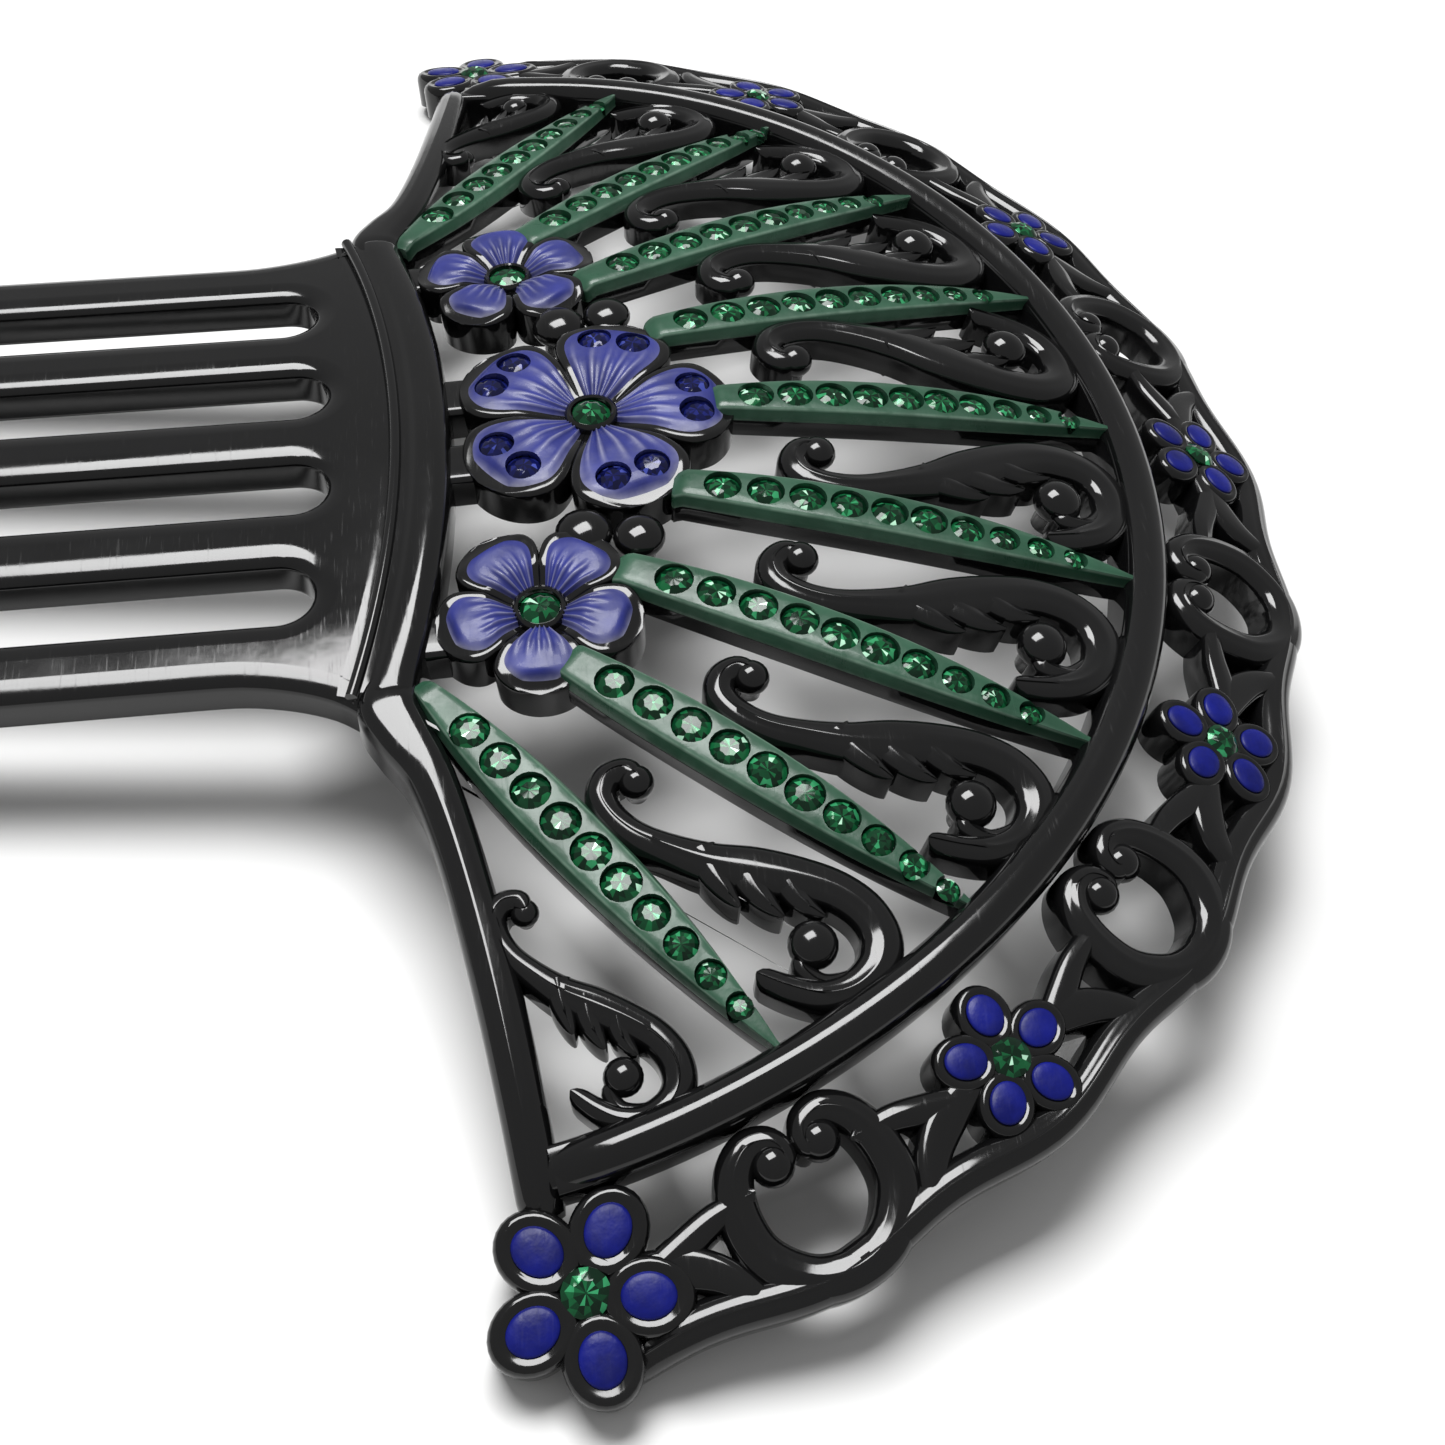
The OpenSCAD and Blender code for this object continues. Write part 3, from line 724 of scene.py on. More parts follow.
def rod_tree():
    tree, gin, gout = gn_tree("Rod along a path", [
        ("Radius", "NodeSocketFloat"), ("Sides", "NodeSocketInt"), ("Finish", "NodeSocketMaterial")])
    link = tree.links.new
    to_curve = node(tree, "GeometryNodeMeshToCurve")
    circle = node(tree, "GeometryNodeCurvePrimitiveCircle")
    sweep = node(tree, "GeometryNodeCurveToMesh")
    sweep.inputs["Fill Caps"].default_value = True
    shade = node(tree, "GeometryNodeSetShadeSmooth")
    real = node(tree, "GeometryNodeRealizeInstances")
    paint = node(tree, "GeometryNodeSetMaterial")
    link(gin.outputs["Geometry"], to_curve.inputs["Mesh"])
    link(gin.outputs["Radius"], circle.inputs["Radius"])
    link(gin.outputs["Sides"], circle.inputs["Resolution"])
    link(to_curve.outputs["Curve"], sweep.inputs["Curve"])
    link(circle.outputs["Curve"], sweep.inputs["Profile Curve"])
    link(sweep.outputs["Mesh"], shade.inputs["Geometry"])
    link(shade.outputs["Geometry"], real.inputs["Geometry"])
    link(real.outputs["Geometry"], paint.inputs["Geometry"])
    link(gin.outputs["Finish"], paint.inputs["Material"])
    link(paint.outputs["Geometry"], gout.inputs["Geometry"])
    return tree


def run_tree(obj, tree, **values):
    """Runs a Geometry Nodes tree on an object and keeps the result as its plain mesh."""
    mod = obj.modifiers.new(tree.name, "NODES")
    mod.node_group = tree
    ids = {i.name: i.identifier for i in tree.interface.items_tree if i.in_out == "INPUT"}
    for key, value in values.items():
        mod[ids[key.replace("_", " ")]] = value
    return apply_all(obj)


def rod(name, path, radius, sides):
    mesh = bpy.data.meshes.new(name)
    mesh.from_pydata(on_table(path).tolist(), [(i, i + 1) for i in range(len(path) - 1)], [])
    obj = bpy.data.objects.new(name, mesh)
    bpy.context.scene.collection.objects.link(obj)
    run_tree(obj, ROD, Radius=radius * MM, Sides=sides, Finish=BLACK)
    outward(obj)
    return smooth(obj, 60)


ROD = rod_tree()
bead_path = [(x, bead_edge(x, BEAD_Y + 0.05), 0.12) for x in np.linspace(-24, 24, 49)]
bead = rod("collar_bead", bead_path, 0.42, 12)
done(bead, BLACK, "black_celluloid", "collar_bead")

# %% [markdown]
# ## Rails and inner rib
#
# Two smooth rails carry the fan's sides from the collar to the corner flowers, and a half-round rib arches
# between them. The rib's upright wall is a loft and its polished top is the same rod tree as the bead.

# %% Rails and rib
FAN_Y, RIB_R = 17.0, 55.7
RIB_W, RIB_TOP_R = 2.9, 1.5
# across, along and width
RAIL = [(21.6, -15.3, 3.6), (24.3, -15.9, 4.1), (26.6, -15.1, 3.8), (30, -13.5, 3.1), (36, -12, 2.9),
        (44, -10.6, 2.9), (52, -9.6, 2.8), (57.6, -9.1, 2.7)]


def fan_point(r, angle):
    """Plan point at a radius and an angle in degrees from the middle line."""
    return turned((0, r), angle) - np.array([0, FAN_Y])


def rail_lift(x):
    """A rail sinks a little into the collar, and more into its corner flower."""
    return -0.35 * np.clip((24.2 - x) / 2, 0, 1) - 0.9 * np.clip((x - 53) / 4, 0, 1) ** 2


for s, name in ((-1, "rail_left"), (1, "rail_right")):
    rail = Solid()
    path = curve(RAIL, 6) * np.array([s, 1, 1])
    rail.sweep(path[:, :2], path[:, 2], rounded(UNDERSIDE, 0.4, 1.25, 0.05, 6), (1.2, 1.0),
               rail_lift(np.abs(path[:, 0])))
    done(smooth(rail.build(name), 50), BLACK, "black_celluloid", name)

rib_angles = np.linspace(-81, 81, 109)
rib_path = [fan_point(RIB_R, a) for a in rib_angles]
rib_wall = Solid()
rib_wall.sweep(rib_path, [RIB_W] * len(rib_path), rounded(UNDERSIDE, 0.1, 0.4))
done(smooth(rib_wall.build("rib_wall"), 50), BLACK, "black_celluloid", "inner_rib")
rib_heights = [-0.35 - 1.2 * max(0, (abs(a) - 77) / 4) ** 2 for a in rib_angles]
rib_top = rod("rib_top", [(*at, h) for at, h in zip(rib_path, rib_heights)], RIB_TOP_R, 20)
done(rib_top, BLACK, "black_celluloid")

# %% [markdown]
# ## Leaves
#
# Nine leaves spread from below the middle flower. Each is a black bar with green enamel over its flat top
# and its sloping sides. Two closed lofts make it: the bar, and the enamel that sits on it. The stones'
# sockets are then drilled into both.

# %% Leaf lofts
LEAF_PITCH, LEAF_ROOT = 13.6, 30.5
LEAF_START = (38, 35.5, 33.5, 34, 28.4)
FIRST_STONE = (41.5, 39, 37.8, 38.2, 33.7)
STONES = 10
LEAF_W = 4.3


def leaf_angle(i):
    return (i - 5) * LEAF_PITCH


def leaf_end(i):
    a, off, inner = math.radians(leaf_angle(i)), LEAF_ROOT - FAN_Y, RIB_R - 1.5
    return off * math.cos(a) + math.sqrt((off * math.cos(a)) ** 2 + inner**2 - off**2) + 0.9


def leaf_half(t, blunt):
    """Half width of a leaf as a part of its greatest. blunt is its part where the leaf starts."""
    if t < 0.4:
        return blunt + (1 - blunt) * (1 - (1 - t / 0.4) ** 2.2)
    return (1 - ((t - 0.4) / 0.6) ** 2.2) ** 0.9


def leaf_point(i, along, across=0.0):
    return turned((across, along), leaf_angle(i)) - np.array([0, LEAF_ROOT])


def leaf_loft(solid, i, section):
    start, end = LEAF_START[abs(i - 5)], leaf_end(i)
    blunt = 0.3 if i in (1, 9) else 0.66
    rings = []
    # a leaf's start dips a little, so that it comes out from under the flowers
    for t in 0.5 - 0.5 * np.cos(np.linspace(0.12, math.pi - 0.1, 40)):
        half = max(0.12, leaf_half(t, blunt) * ease(-0.015, 0.012, t)) * LEAF_W / 2
        along = start + (end - start) * t
        dip = 0.5 * (1 - ease(0, 0.03, t))
        rings.append([(*leaf_point(i, along, u * half), h - dip) for u, h in section])
    solid.loft(rings)


def mirror_section(right):
    return right + [(-u, h) for u, h in reversed(right)]


BAR = mirror_section([(0.98, -2.1), (1.0, -1.9), (1.0, -0.75), (0.96, -0.66), (0.7, -0.5)])
ENAMEL = mirror_section([(0.93, -1.0), (0.985, -0.8), (0.985, -0.68), (0.95, -0.5), (0.84, 0.02),
                         (0.79, 0.18), (0.72, 0.26), (0.4, 0.3)])
# pale across each leaf's enamel: rubbed edges, and painted highlight lines on the shoulder (0.7) and along
# the lower edge (0.5)
WEAR_AND_HIGHLIGHT_ACROSS = [0.1, 0.2, 0.5, 0.15, 0.0, 0.7, 0.1, 0.0]
bars, enamel = Solid(), Solid()
for i in range(1, 10):
    leaf_loft(bars, i, BAR)
    leaf_loft(enamel, i, ENAMEL)
leaf_bars = bars.build("leaf_bars", flat=True)
leaf_enamel = enamel.build("leaf_enamel_tops", flat=True)
paint_wear_and_highlight(leaf_enamel, np.tile(WEAR_AND_HIGHLIGHT_ACROSS + WEAR_AND_HIGHLIGHT_ACROSS[::-1], 9 * 40))
print("points in the nine bars and their enamel:", len(bars.points), len(enamel.points))

# %% [markdown]
# The stones get smaller towards each leaf's tip. Their places are worked out once, and both the drilled
# sockets and the stones themselves use them.

# %% Where the stones sit
STONE_D, PETAL_STONE_D, CENTRE_STONE_D = 2.5, 2.4, 2.7


def stone_size(j):
    return STONE_D * (1 if j < 6 else 1 - 0.09 * (j - 5))


leaf_stones = []
for i in range(1, 10):
    along = FIRST_STONE[abs(i - 5)]
    for j in range(STONES):
        leaf_stones.append((*leaf_point(i, along), stone_size(j)))
        along += (2.95 - 0.06 * j) * (0.96 if i == 5 else 1)

MIDDLE = np.array([0.0, -0.8])
SIDE = np.array([17.9, -5.8])
petal_stones = [(*(MIDDLE + turned((s * 1.45, 7.4), 72 * k)), PETAL_STONE_D)
                for k in range(5) for s in (-1, 1)]
print(len(leaf_stones), "leaf stones and", len(petal_stones), "petal stones")

# %% [markdown]
# Drilling comes before bending, while every socket still stands upright. All the drills of a piece are one
# mesh, so a single Boolean cuts them, and then the drilled piece is bent to the sheet.

# %% Drilling and bending
SOCKET_PLAY, DRILL_TOP = 0.06, 2.0


def drill(obj, places, depth):
    """Cuts a round socket under each stone, while the piece is still flat."""
    cutter = Solid()
    for x, y, d in places:
        ring = circle(d / 2 + SOCKET_PLAY, 0, 20)
        cutter.loft([[(x + u, y + v, h) for u, v, _ in ring] for h in (depth, DRILL_TOP)])
    tool = cutter.build("drill", flat=True)
    cut = obj.modifiers.new("sockets", "BOOLEAN")
    cut.operation = "DIFFERENCE"
    cut.solver = "MANIFOLD"
    cut.object = tool
    apply_all(obj)
    bpy.data.objects.remove(tool)
    return obj


def bend(obj):
    co = np.zeros(len(obj.data.vertices) * 3)
    obj.data.vertices.foreach_get("co", co)
    obj.data.vertices.foreach_set("co", on_table(co.reshape(-1, 3)).ravel())
    obj.data.update()
    outward(obj)
    return obj


for piece in (leaf_bars, leaf_enamel):
    smooth(bend(drill(piece, leaf_stones, -0.85)), 40)
done(leaf_bars, BLACK, "black_celluloid", *[f"leaf_{i}" for i in range(1, 10)])
done(leaf_enamel, GREEN, "green_enamel", "leaf_enamel")

# %% [markdown]
# ## Large flowers
#
# The middle flower and the two side flowers have five domed petals. A petal is a loft along its own axis,
# so its width, its fall towards the centre and its rounded tip come from a few short formulas. The enamel is
# a second skin inside the black edge, with fine carved ridges that fan out from the centre.

# %% Petal lofts
WEDGE = math.tan(math.radians(36))


def petal_width(r, shape, gap):
    """Half width of a petal at a distance from the flower's centre: a wedge that turns into a round end."""
    half, widest, tip = shape
    cap = half * math.sqrt(max(0.0, 1 - (max(0.0, r - widest) / (tip - widest)) ** 2.2))
    wedge = WEDGE * r - gap
    return (max(wedge, 0.05) ** -7 + max(cap, 0.02) ** -7) ** (-1 / 7)


def petal_level(r, k):
    """Height of a petal: sunk at the centre, full in the middle, falling at the tip. k scales the flower."""
    return -0.8 + 0.95 * ease(1.0, 4.9 * k, r) - 0.45 * ease(7.6 * k, 10.3 * k, r)


print("middle petal, half width at 6 mm:", round(petal_width(6.0, (4.65, 5.9, 10.3), -0.1), 2))

# %% [markdown]
# The black body has a slightly raised lip. The enamel lies inside the lip, and its ridges are a wave across
# the petal that fades towards the tip. The same wave says where the enamel is worn. Its rims are worn all
# round, and the rims and the tip are painted paler still on the camera's side, as a painted highlight.

# %% One petal and the centre cup
def petal(solid, centre, turn, root, shape, gap, skin, mirror=1):
    """Adds one petal: its black body, or with skin its enamel. Returns the wear_and_highlight values of its
    points.
    """
    rings, wear_and_highlight = [], []
    half, _, tip = shape
    us = np.linspace(-1, 1, 45) if skin else np.sin(np.linspace(-math.pi / 2, math.pi / 2, 21))
    for t in 0.5 - 0.5 * np.cos(np.linspace(0.05, math.pi - 0.07, 40)):
        r = root + (tip - root) * t
        w = petal_width(r, shape, gap)
        level = petal_level(r, 1 if half > 3.5 else 0.68)
        end = ease(0.86, 1.0, t)
        section, ring_wear_and_highlight = [], []
        for u in us:
            if skin:
                edge = abs(u) ** 8
                wave = 0.5 + 0.5 * math.cos(2 * math.pi * (2.75 * u + 0.12 * math.sin(4 * u + turn)))
                fade = ease(0.72, 0.3, t) if t > 0.3 else 1.0
                ridge = 0.16 * fade * (wave**2 - 0.4)
                h = level + 0.3 * (1 - u * u) * (1 - end) - 0.2 * max(edge, end) + ridge
                rim = max(abs(u) ** 9, ease(0.9, 1.0, t))
                # the rims are worn all round; on the camera's side (+x) rims and tips are painted paler
                # still, as a painted highlight
                highlight_side = turned((u * 0.6, t), turn)[0] * mirror
                on_ridges = 0.6 * fade * wave**6 * (1 - abs(u) ** 6)
                tip_highlight = 0.5 * ease(0.55, 1, t) * max(0, highlight_side) * abs(u) ** 2
                ring_wear_and_highlight.append(min(1.0, on_ridges + rim * (0.55 + 0.45 * highlight_side) + tip_highlight))
            else:
                h = level - 0.14 + 0.22 * u**6 - 0.5 * u**24
                ring_wear_and_highlight.append(0)
            section.append((u * w, h))
        low = level - 0.8 if skin else UNDERSIDE
        section = [(w * 0.97, low)] + section[::-1] + [(-w * 0.97, low)]
        ring_wear_and_highlight = [0] + ring_wear_and_highlight[::-1] + [0]
        ring = []
        for u, h in section:
            p = turned((u, r), turn)
            ring.append((centre[0] + p[0] * mirror, centre[1] + p[1], h))
        rings.append(ring)
        wear_and_highlight += ring_wear_and_highlight
    solid.loft(rings)
    return wear_and_highlight


def cup(solid, centre, r, height, low):
    """A dished ring that holds a flower's centre stone."""
    profile = [(1.25, low), (1.25, height - 0.35), (1.18, height - 0.1), (1.05, height),
               (0.95, height - 0.1), (0.9, height - 0.5)]
    solid.loft([circle(r * k, h, 36) + np.array([*centre, 0]) for k, h in profile])


print("a petal's enamel has", len(petal(Solid(), MIDDLE, 0, 1.5, (4.08, 5.72, 9.6), 0.36, True)), "points")

# %% [markdown]
# The middle flower has the two blue stones in each petal, so its body and its enamel are drilled too. A
# petal's shape is its half width, the distance at which it is widest, and the distance of its tip.

# %% Middle flower
body, skin, skin_wear_and_highlight = Solid(), Solid(), []
for k in range(5):
    petal(body, MIDDLE, 72 * k, 0.6, (4.65, 5.9, 10.3), -0.1, False)
    skin_wear_and_highlight += petal(skin, MIDDLE, 72 * k, 1.5, (4.08, 5.72, 9.6), 0.36, True)
cup(body, MIDDLE, 1.55, -0.2, UNDERSIDE)
middle_body = body.build("middle_flower_body", flat=True)
middle_skin = skin.build("middle_flower_petals", flat=True)
paint_wear_and_highlight(middle_skin, skin_wear_and_highlight)
for piece in (middle_body, middle_skin):
    smooth(bend(drill(piece, petal_stones, -0.75)), 45)
done(middle_body, BLACK, "black_celluloid", "middle_flower")
done(middle_skin, VIOLET, "violet_enamel", "middle_flower_enamel")

# %% [markdown]
# The side flowers are smaller and have no stones in their petals. One is the mirror of the other.

# %% Side flowers
SIDE_TURN = 22
skin, skin_wear_and_highlight = Solid(), []
for s, name in ((-1, "side_flower_left"), (1, "side_flower_right")):
    body = Solid()
    at = SIDE * np.array([s, 1])
    for k in range(5):
        petal(body, at, SIDE_TURN + 72 * k, 0.5, (3.25, 4.0, 7.0), -0.1, False, mirror=s)
        skin_wear_and_highlight += petal(skin, at, SIDE_TURN + 72 * k, 1.4, (2.62, 3.8, 6.25), 0.4, True, mirror=s)
    cup(body, at, 1.5, -0.2, UNDERSIDE)
    done(smooth(body.build(name + "_body"), 45), BLACK, "black_celluloid", name)
side_skin = skin.build("side_flower_petals")
paint_wear_and_highlight(side_skin, skin_wear_and_highlight)
done(smooth(side_skin, 45), VIOLET, "violet_enamel", "side_flower_enamel")

# %% [markdown]
# ## Scrolls
#
# Between the leaves stand ten S-shaped scrolls. Each starts in a small hook, swells into a body with leaf
# notches on one side, and curls round into a ball. A loft follows the scroll's middle line with a width that
# changes along it, and the notches are short pointed lofts that lie against the body.

# %% Scroll shapes
# along the scroll, across it, and width
SCROLL = [(1.5, -0.6, 1.7), (0.5, -0.5, 1.8), (0, 0.6, 1.9), (0.6, 1.8, 1.95), (2.1, 2.4, 2.0),
          (4, 2.4, 2.05), (6.1, 1.8, 2.2), (8.6, 0.8, 2.7), (10.9, -0.6, 3.1), (13.2, -2, 2.9),
          (15.4, -3, 2.7), (17.5, -3.2, 2.65), (19.2, -2.5, 2.6), (20.1, -1, 2.5), (20, 1, 2.3),
          (19, 2.6, 2.1), (17.3, 3.7, 1.8), (15.2, 4.5, 1.4)]
CURL = [(20.0, -1.4, 1.5), (19.6, 0.6, 1.5), (18.4, 2.1, 1.5), (16.9, 2.2, 1.6), (16.5, 1.4, 1.6)]
# three points and a width for each leaf notch
BARBS = [((7.6, 0.6), (9.6, 1.4), (11.9, 2.0), 2.0), ((9.8, -0.4), (11.9, 0.45), (14.2, 0.7), 2.1),
         ((12.2, -1.6), (14.1, -0.9), (16.0, -1.0), 1.8)]
# angle from the middle line, distance from the leaves' root and size, from the outermost scroll inwards
SCROLL_SETS = [(61.5, 44.2, 0.77), (47.8, 41.9, 1.0), (34.1, 43.6, 1.06), (20.5, 43.4, 1.12),
               (7.2, 43.8, 1.15)]
balls = []


def scroll_place(s, turn, start, size):
    """Returns a function from a scroll's own points (along, across) to the plan."""
    def place(p):
        p = np.asarray(p, float)
        q = np.array([turned((v * size, start + u * size), turn) for u, v in p[..., :2]])
        return np.stack([q[:, 0] * s, q[:, 1] - LEAF_ROOT], -1)
    return place


print("scroll sizes, outermost first:", [size for _, _, size in SCROLL_SETS])

# %% [markdown]
# Each scroll is five lofts: the body, the curl that holds the ball, and three notches. The places of the
# balls are kept, because all the balls are made together later.

# %% Ten scrolls
for n in range(10):
    s = -1 if n < 5 else 1
    turn, start, size = SCROLL_SETS[n if n < 5 else 9 - n]
    place = scroll_place(s, turn, start, size)
    scroll = Solid()
    path = curve(SCROLL, 6)
    body = rounded(UNDERSIDE + 0.6, 0.1, 1.0, 0.12, 6)
    scroll.sweep(place(path), path[:, 2] * size * 1.05, body, (0.8, 0.8))
    path = curve(CURL, 5)
    narrowing = np.linspace(1, 0.75, len(path))
    curl = rounded(UNDERSIDE + 0.7, -0.2, 0.6, 0.1)
    scroll.sweep(place(path), path[:, 2] * size * narrowing, curl, (0.0, 0.6))
    for a, b, c, w in BARBS:
        line = curve([a, b, c], 7)
        wide = w * size * (1 - np.linspace(0, 0.99, len(line)) ** 2.6) + 0.1
        scroll.sweep(place(line), wide, rounded(UNDERSIDE + 0.4, 0.0, 0.55, 0.12, 4))
    done(smooth(scroll.build(f"scroll_{n + 1}_body"), 50), BLACK, "black_celluloid", f"scroll_{n + 1}")
    ball, hook = place([(16.5, 0.7), (1.5, -0.45)])
    balls += [(*ball, 1.55 * size, -0.6, 0.8), (*hook, 1.15 * size, -0.8, 0.85)]
print(len(balls), "scroll balls to set")

# %% [markdown]
# ## Border
#
# The outer border has a scalloped rim, six C-shaped loops, seven small flowers and curved stems that tie
# them together. The rim is one sweep round the fan, whose radius rises and falls with the scallops.

# %% Outer rim
BORDER_R, EDGE_R, SCALLOP, MOTIF = 62.3, 67.3, 0.9, 13.8
CORNER_ANGLE = 6 * MOTIF - 1.9
RIM_W = 2.4
flower_angles = [-CORNER_ANGLE, -4 * MOTIF, -2 * MOTIF, 0, 2 * MOTIF, 4 * MOTIF, CORNER_ANGLE]
loop_angles = [(a + b) / 2 for a, b in zip(flower_angles[:-1], flower_angles[1:])]


def edge_at(a):
    return EDGE_R + SCALLOP / 2 * math.cos(math.radians(360 * a / MOTIF))


rim = Solid()
rim_run = np.linspace(-80.4, 80.4, 185)
rim.sweep([fan_point(edge_at(a) - RIM_W / 2, a) for a in rim_run], [RIM_W] * len(rim_run),
          rounded(UNDERSIDE, -0.05, 1.1, 0.1, 6), lifts=[-ease(77, 80, abs(a)) for a in rim_run])
done(smooth(rim.build("outer_rim_edge"), 50), BLACK, "black_celluloid", "outer_rim")

# %% [markdown]
# A loop is one path, drawn for its right half and mirrored. Two stems grow towards it from the flower on
# each side: a broad one that meets the loop and a narrow fork that runs back to the rib.

# %% Loops and stems
# across the motif, out from the middle of the border, and width
LOOP = [(0, 4.4, 2.6), (2.5, 3.75, 2.7), (4.3, 1.7, 2.7), (4.6, -0.6, 2.6), (3.9, -2.8, 2.4),
        (2.5, -3.9, 2.2), (1.2, -3.7, 1.9), (0.7, -2.7, 1.6), (1.3, -2.1, 1.4)]
STEM = [(2.4, -0.4, 1.9), (5.4, 0.2, 2.4), (7.6, 1.3, 2.1), (9.3, 3.2, 1.6)]
FORK = [(3.2, 0.1, 1.5), (5.6, -0.8, 1.9), (7.8, -1.8, 1.7), (10.4, -2.5, 1.2)]


def motif_place(angle):
    """Returns a function from a border motif's own points (across, out) to the plan."""
    def place(p):
        return np.array([fan_point(BORDER_R, angle) + turned(q, angle) for q in np.asarray(p, float)[:, :2]])
    return place


for i, angle in enumerate(loop_angles):
    loop = Solid()
    place = motif_place(angle)
    path = curve([(-x, y, w) for x, y, w in LOOP[:0:-1]] + LOOP, 6)
    loop.sweep(place(path), path[:, 2], rounded(UNDERSIDE, -0.05, 1.0, 0.1, 6), (0.6, 0.6))
    for s in (-1, 1):
        balls.append((*place([(s * 1.5, -2.5)])[0], 1.3, -0.9, 0.85))
        # the stem grows from the flower on this side
        root = motif_place(flower_angles[i if s < 0 else i + 1])
        for shape in (STEM, FORK):
            path = curve(shape, 5)
            local = np.stack([-s * path[:, 0], path[:, 1]], -1)
            loop.sweep(root(local), path[:, 2], rounded(UNDERSIDE, -0.15, 0.6, 0.05, 4), (0, 0.4))
    done(smooth(loop.build(f"loop_{i + 1}_body"), 50), BLACK, "black_celluloid", f"loop_{i + 1}")

# %% [markdown]
# ## Pieces that repeat
# Stones, ball beads and the petals of the border flowers are each one shape used many times. A Geometry
# Nodes tree stands an instance on every point. Each point carries a size and a facing angle, worked out from
# the sheet, and a seeded random spin keeps the stones from lining up. The tree also stores a random value
# on every face, which the glass turns into the painted reflection tone of that facet.

# %% Instancing tree
def scatter_tree():
    tree, gin, gout = gn_tree("Set pieces on points", [
        ("Piece", "NodeSocketObject"), ("Spin", "NodeSocketVector"), ("Seed", "NodeSocketInt"),
        ("Finish", "NodeSocketMaterial")])
    link = tree.links.new
    info = node(tree, "GeometryNodeObjectInfo", transform_space="ORIGINAL")
    facing = node(tree, "GeometryNodeInputNamedAttribute", data_type="FLOAT_VECTOR")
    facing.inputs["Name"].default_value = "facing"
    size = node(tree, "GeometryNodeInputNamedAttribute", data_type="FLOAT_VECTOR")
    size.inputs["Name"].default_value = "size"
    rotation = node(tree, "FunctionNodeEulerToRotation")
    chance = node(tree, "FunctionNodeRandomValue", data_type="FLOAT_VECTOR")
    least = node(tree, "ShaderNodeVectorMath", operation="SCALE")
    least.inputs["Scale"].default_value = -1.0
    spin_rotation = node(tree, "FunctionNodeEulerToRotation")
    both = node(tree, "FunctionNodeRotateRotation", rotation_space="LOCAL")
    stand = node(tree, "GeometryNodeInstanceOnPoints")
    real = node(tree, "GeometryNodeRealizeInstances")
    paint = node(tree, "GeometryNodeSetMaterial")
    link(gin.outputs["Piece"], info.inputs["Object"])
    link(facing.outputs["Attribute"], rotation.inputs["Euler"])
    link(gin.outputs["Spin"], least.inputs[0])
    link(least.outputs["Vector"], chance.inputs[0])
    link(gin.outputs["Spin"], chance.inputs[1])
    link(gin.outputs["Seed"], chance.inputs["Seed"])
    link(chance.outputs[0], spin_rotation.inputs["Euler"])
    link(rotation.outputs["Rotation"], both.inputs["Rotation"])
    link(spin_rotation.outputs["Rotation"], both.inputs["Rotate By"])
    link(gin.outputs["Geometry"], stand.inputs["Points"])
    link(info.outputs["Geometry"], stand.inputs["Instance"])
    link(both.outputs["Rotation"], stand.inputs["Rotation"])
    link(size.outputs["Attribute"], stand.inputs["Scale"])
    link(stand.outputs["Instances"], real.inputs["Geometry"])
    facet = node(tree, "FunctionNodeRandomValue", data_type="FLOAT")
    store = node(tree, "GeometryNodeStoreNamedAttribute", data_type="FLOAT", domain="FACE")
    store.inputs["Name"].default_value = "facet"
    link(gin.outputs["Seed"], facet.inputs["Seed"])
    link(facet.outputs[1], store.inputs["Value"])
    link(real.outputs["Geometry"], store.inputs["Geometry"])
    link(store.outputs["Geometry"], paint.inputs["Geometry"])
    link(gin.outputs["Finish"], paint.inputs["Material"])
    link(paint.outputs["Geometry"], gout.inputs["Geometry"])
    return tree


SCATTER = scatter_tree()
print(SCATTER.name, "has", len(SCATTER.nodes), "nodes")

# %% [markdown]
# The points need their facing. A piece stands square to the sheet, so its Z axis is the sheet's normal, and
# its Y axis runs up the comb, or as far off that as the piece is spun.

# %% Standing pieces on the sheet
def facing_of(x, y, spin):
    """Euler angles that stand a piece square to the sheet, its Y axis turned spin degrees off the comb's."""
    base, normal = sheet_point(np.array(float(x)), np.array(float(y)))
    z = Vector(tip_over(normal))
    along = Vector(tip_over(np.array([math.sin(math.radians(spin)), math.cos(math.radians(spin)), 0.0])))
    across = along.cross(z).normalized()
    return Matrix((across, z.cross(across), z)).transposed().to_euler()


def scatter(name, pattern, places, mat, angle, spin=(0.0, 0.0, 0.0), seed=1):
    """places: (x, y, height, (sx, sy, sz), spin) for each piece."""
    mesh = bpy.data.meshes.new(name)
    mesh.from_pydata(on_table([p[:3] for p in places]).tolist(), [], [])
    facing = mesh.attributes.new("facing", "FLOAT_VECTOR", "POINT")
    facing.data.foreach_set("vector", np.array([facing_of(p[0], p[1], p[4]) for p in places]).ravel())
    size = mesh.attributes.new("size", "FLOAT_VECTOR", "POINT")
    size.data.foreach_set("vector", np.array([p[3] for p in places], float).ravel())
    obj = bpy.data.objects.new(name, mesh)
    bpy.context.scene.collection.objects.link(obj)
    run_tree(obj, SCATTER, Piece=pattern, Spin=spin, Seed=seed, Finish=mat)
    outward(obj)
    return smooth(obj, angle)


def pattern_from(name, rings):
    """A closed unit shape, in metres, from rings of points that get wider and then close."""
    solid = Solid()
    solid.loft(rings)
    solid.points = [(x * MM, y * MM, z * MM) for x, y, z in solid.points]
    return solid.build(name, flat=True)


print("upright on the middle flower:", [round(a, 2) for a in facing_of(0, 0, 0)])

# %% [markdown]
# ### Stones
#
# A cut stone of one millimetre radius: a back cone, a girdle, eight crown facets and a table. The table is
# cut into a shallow eight-sided star, which breaks up the reflection as the facets under real glass do.

